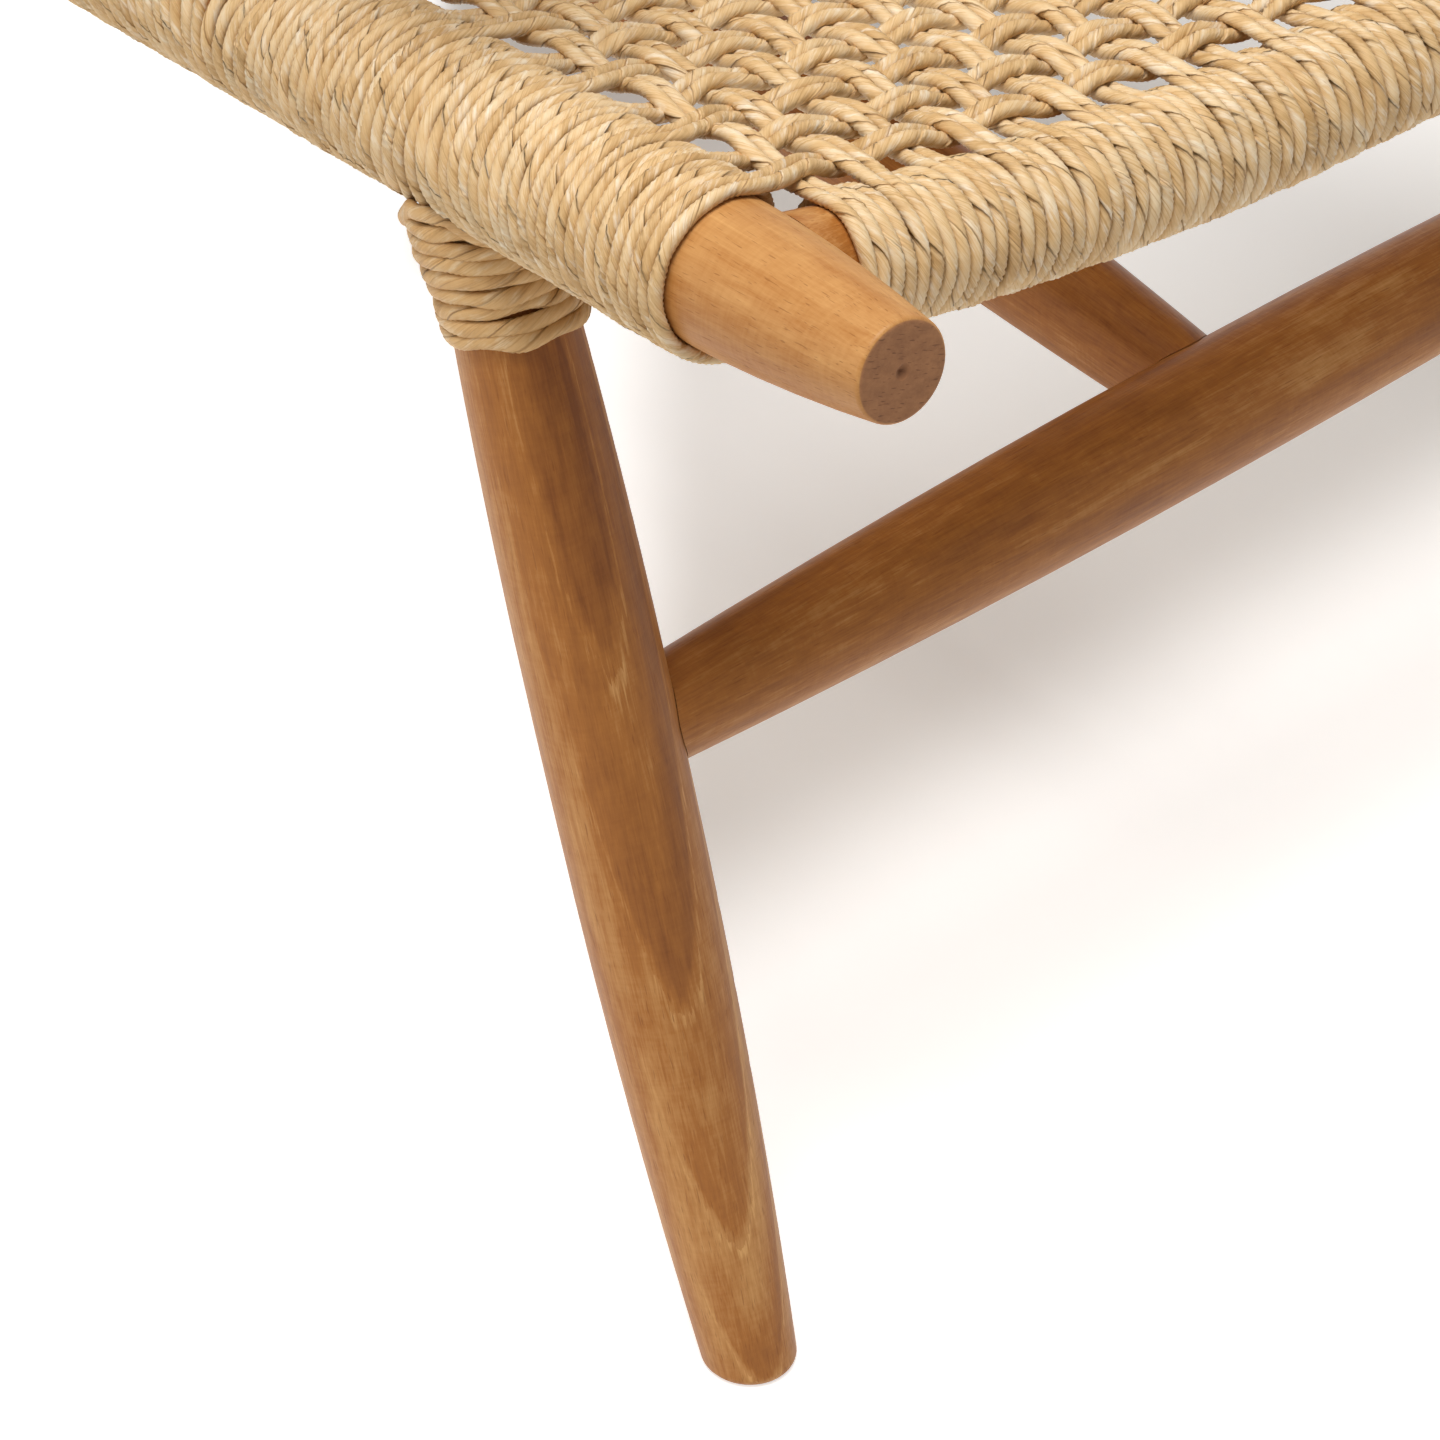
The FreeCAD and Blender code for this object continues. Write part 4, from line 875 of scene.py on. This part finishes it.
for nodeName, (start, way, wood) in pairedNodes.items():
    for side, word in ((-1, "left"), (1, "right")):
        flip = vec(-side, 1, 1)
        turned = dict(wood, heart=wood["heart"] * flip, clear=wood["clear"] * flip)
        coatWood(f"{nodeName}_{word}", start * flip, way * flip, turned)
for nodeName, (start, way, wood) in singleNodes.items():
    coatWood(nodeName, start, way, wood)
print("teak on the members")

strawCord = strawFinish("strawCord", straw)
boundCord = strawFinish("boundCord", boundStraw)


# a field's cords as a few pieces of a handy size
def sweepField(name, runs, perPiece, seed, replaced):
    for part, start in enumerate(range(0, len(runs), perPiece)):
        sweepCords(f"{name}_{part + 1}", runs[start:start + perPiece], seed + part, replaced, strawCord)


# seat
rowRuns = [seatRow(wrap) for wrap in railPlan if wrap.kind == "weave"]
sweepField("seat_rows", rowRuns, 18, 11, ("seat_weave", "side_rail_wrap_left", "side_rail_wrap_right"))
columnRuns = [seatColumn(pair, which) for pair in range(seat["columns"]) for which in (-0.5, 0.5)]
sweepField("seat_columns", columnRuns, 18, 21, ("seat_weave", "front_rail_wrap", "rear_rail_wrap"))
sweepCords("side_turns_left", sideFillers(-1), 31, ("side_rail_wrap_left",), strawCord)
sweepCords("side_turns_right", sideFillers(1), 32, ("side_rail_wrap_right",), strawCord)
sweepCords("front_turns", crossFillers(frontRail, frontPlan), 33, ("front_rail_wrap",), strawCord)
sweepCords("rear_turns", crossFillers(rearRail, rearPlan), 34, ("rear_rail_wrap",), strawCord)

# back
backRuns = [backColumn(pair, which) for pair in range(back["columns"]) for which in (-0.5, 0.5)]
sweepField("back_columns", backRuns, 22, 41, ("back_weave", "back_lower_rail_wrap", "back_top_rail_wrap"))
sweepCords("back_rows", [backRow(pair) for pair in range(back["rows"])], 44, ("back_weave",), strawCord)
sweepCords("back_lower_turns", crossFillers(lowerRail, backPlan), 45, ("back_lower_rail_wrap",), strawCord)
sweepCords("back_top_turns", crossFillers(topRail, backPlan), 46, ("back_top_rail_wrap",), strawCord)

# bindings, one piece for each leg
legs = {
    "front_left": (-1, chair["frontLeg"], -chair["frontRake"]),
    "front_right": (1, chair["frontLeg"], -chair["frontRake"]),
    "rear_left": (-1, rearLegPlace, chair["rearRake"]),
    "rear_right": (1, rearLegPlace, chair["rearRake"]),
}
for number, (legName, (side, place, rake)) in enumerate(legs.items()):
    layers = [legBinding(side, railAt(side, place), rake, 51 + number + 10 * k, layer)
              for k, layer in enumerate((binding, binding["outer"]))]
    sweepCords(f"binding_{legName}", layers, 61 + number, ("leg_bindings",), boundCord, bindingCord)

# floor, light and camera
view = {"azimuth": -42.055, "elevation": 38.104, "place": (-1.12514, -1.22930, 1.25637), "lens": 136.313}
stage = {
    "floorHalf": 9.0, "floorCuts": 8, "floorColour": (0.93, 0.922, 0.908), "floorCloud": (0.90, 0.895, 0.885),
    "skyStrength": 0.32, "skyColour": (1.0, 0.955, 0.895),
    "aim": (-0.15, -0.2, 0.35), "lampColour": (1.0, 0.985, 0.965),
    "lamps": {"softKey": {"way": (-0.20, -0.10, 0.97), "away": 2.6, "size": 1.4, "power": 64.0},
              "leftFill": {"way": (-0.88, 0.36, 0.30), "away": 2.6, "size": 1.6, "power": 11.0}},
}
# painted light on the floor: the glow it gives off by place, for the camera and reflections, which lifts it
# to white and leaves its shadow only where set: levels, then where each comes in, metres
paintedGlow = {
    "front": 0.62, "shade": 0.19, "behind": 0.40, "left": 0.80, "under": 0.12,
    "toShade": (-0.175, -0.075), "toBehind": (-0.06, 0.12), "toLeft": (-0.015, -0.075), "toFar": (0.60, 1.0),
    # painted shadow under the seat, where the glow is lowered: past the front rail, right of the side rail,
    # behind the leg, and its end
    "pastRail": (0.17, 0.25), "railSlope": 0.69, "pastSide": (-0.150, -0.125), "pastLeg": (0.22, 0.27),
    "underEnd": (0.80, 0.48),
}


# painted floor light: how much the floor glows at each place, which paints where its shadow shows
def paintedFloorGlow(f, where):
    y = f.dot(where, (0, 1, 0))
    lift = f.smooth(y, *paintedGlow["toShade"], paintedGlow["front"], paintedGlow["shade"])
    lift = lift + f.smooth(y, *paintedGlow["toBehind"], 0.0, paintedGlow["behind"] - paintedGlow["shade"])
    turn = radians(view["azimuth"])
    aside, deep = f.dot(where, (cos(turn), sin(turn), 0)), f.dot(where, (-sin(turn), cos(turn), 0))
    lift = lift + f.smooth(aside, *paintedGlow["toLeft"]) * (paintedGlow["left"] - lift)
    under = f.smooth(deep - aside * paintedGlow["railSlope"], *paintedGlow["pastRail"]) * f.smooth(aside, *paintedGlow["pastSide"])
    under = under * f.smooth(deep, *paintedGlow["pastLeg"]) * f.smooth(deep, *paintedGlow["underEnd"])
    lift = lift + under * (paintedGlow["under"] - lift)
    away = f.add("ShaderNodeVectorMath", {"operation": "LENGTH"}, {0: where}, out=1)
    return lift + f.smooth(away, *paintedGlow["toFar"]) * (paintedGlow["left"] - lift)


def makeFloor():
    half, cuts = stage["floorHalf"], stage["floorCuts"]
    line = np.linspace(-half, half, cuts + 1)
    verts = [(x, y, 0.0) for y in line for x in line]
    firsts = [j * (cuts + 1) + i for j in range(cuts) for i in range(cuts)]
    faces = [(k, k + 1, k + cuts + 2, k + cuts + 1) for k in firsts]
    mesh = bpy.data.meshes.new("studioFloor")
    mesh.from_pydata(verts, [], faces)
    floor = bpy.data.objects.new("studioFloor", mesh)
    bpy.context.scene.collection.objects.link(floor)
    f = Finish(bpy.data.materials.new("paleFloor"))
    where = f.add("ShaderNodeTexCoord", None, None, out=3)
    colour = f.blend(f.noise(where, 3.0) * 0.04, stage["floorColour"], stage["floorCloud"])
    tooth = f.noise(where, 900.0)
    bump = f.add("ShaderNodeBump", None, {"Strength": 0.02, "Distance": 0.001, "Height": tooth})
    matt = f.add("ShaderNodeBsdfDiffuse", None, {"Color": colour, "Normal": bump})
    # the floor glows for camera and reflected rays by place: painted light and shadow
    lift = paintedFloorGlow(f, where)
    shine = f.add("ShaderNodeEmission", None, {"Color": f.place(lift, lift, lift), "Strength": 1.0})
    lifted = f.add("ShaderNodeAddShader", None, {0: matt, 1: shine})
    shown = f.add("ShaderNodeMixShader", None, {0: f.seenRays(), 1: matt, 2: lifted})
    f.add("ShaderNodeOutputMaterial", None, {0: shown})
    mesh.materials.append(f.holder)


def makeSky():
    world = bpy.data.worlds.new("studioSky")
    bpy.context.scene.world = world
    f = Finish(world)
    lit = f.add("ShaderNodeBackground", None, {0: (*stage["skyColour"], 1), 1: stage["skyStrength"]})
    white = f.add("ShaderNodeBackground", None, {0: (1, 1, 1, 1), 1: 1.0})
    shown = f.add("ShaderNodeMixShader", None, {0: f.seenRays(), 1: lit, 2: white})
    f.add("ShaderNodeOutputWorld", None, {0: shown})


# an object that looks from its place back along a direction
def faceFrom(made, back, right, place):
    turned = np.stack([right, np.cross(back, right), back], 1)
    made.matrix_world = Matrix([[*row, spot] for row, spot in zip(turned, place)] + [[0, 0, 0, 1]])
    bpy.context.scene.collection.objects.link(made)


def makeLamp(name, settings):
    lamp = bpy.data.lights.new(name, "AREA")
    lamp.shape = "DISK"
    lamp.size = settings["size"]
    lamp.energy = settings["power"]
    lamp.color = stage["lampColour"]
    back = unit(np.array(settings["way"]))
    faceFrom(bpy.data.objects.new(name, lamp), back, unit(np.cross((0, 0, 1), back)),
             np.array(stage["aim"]) + settings["away"] * back)


def makeCamera():
    lens = bpy.data.cameras.new("photoView")
    lens.sensor_fit = "HORIZONTAL"
    lens.sensor_width = 36.0
    lens.lens = view["lens"]
    lens.clip_start = 0.05
    camera = bpy.data.objects.new("photoView", lens)
    turn, lift = radians(view["azimuth"]), radians(view["elevation"])
    back = vec(sin(turn) * cos(lift), -cos(turn) * cos(lift), sin(lift))
    faceFrom(camera, back, vec(cos(turn), sin(turn), 0), view["place"])
    bpy.context.scene.camera = camera


makeFloor()
makeSky()
for lampName, lampSettings in stage["lamps"].items():
    makeLamp(lampName, lampSettings)
makeCamera()
bpy.context.scene.view_settings.view_transform = "Standard"
print("floor, light and camera")
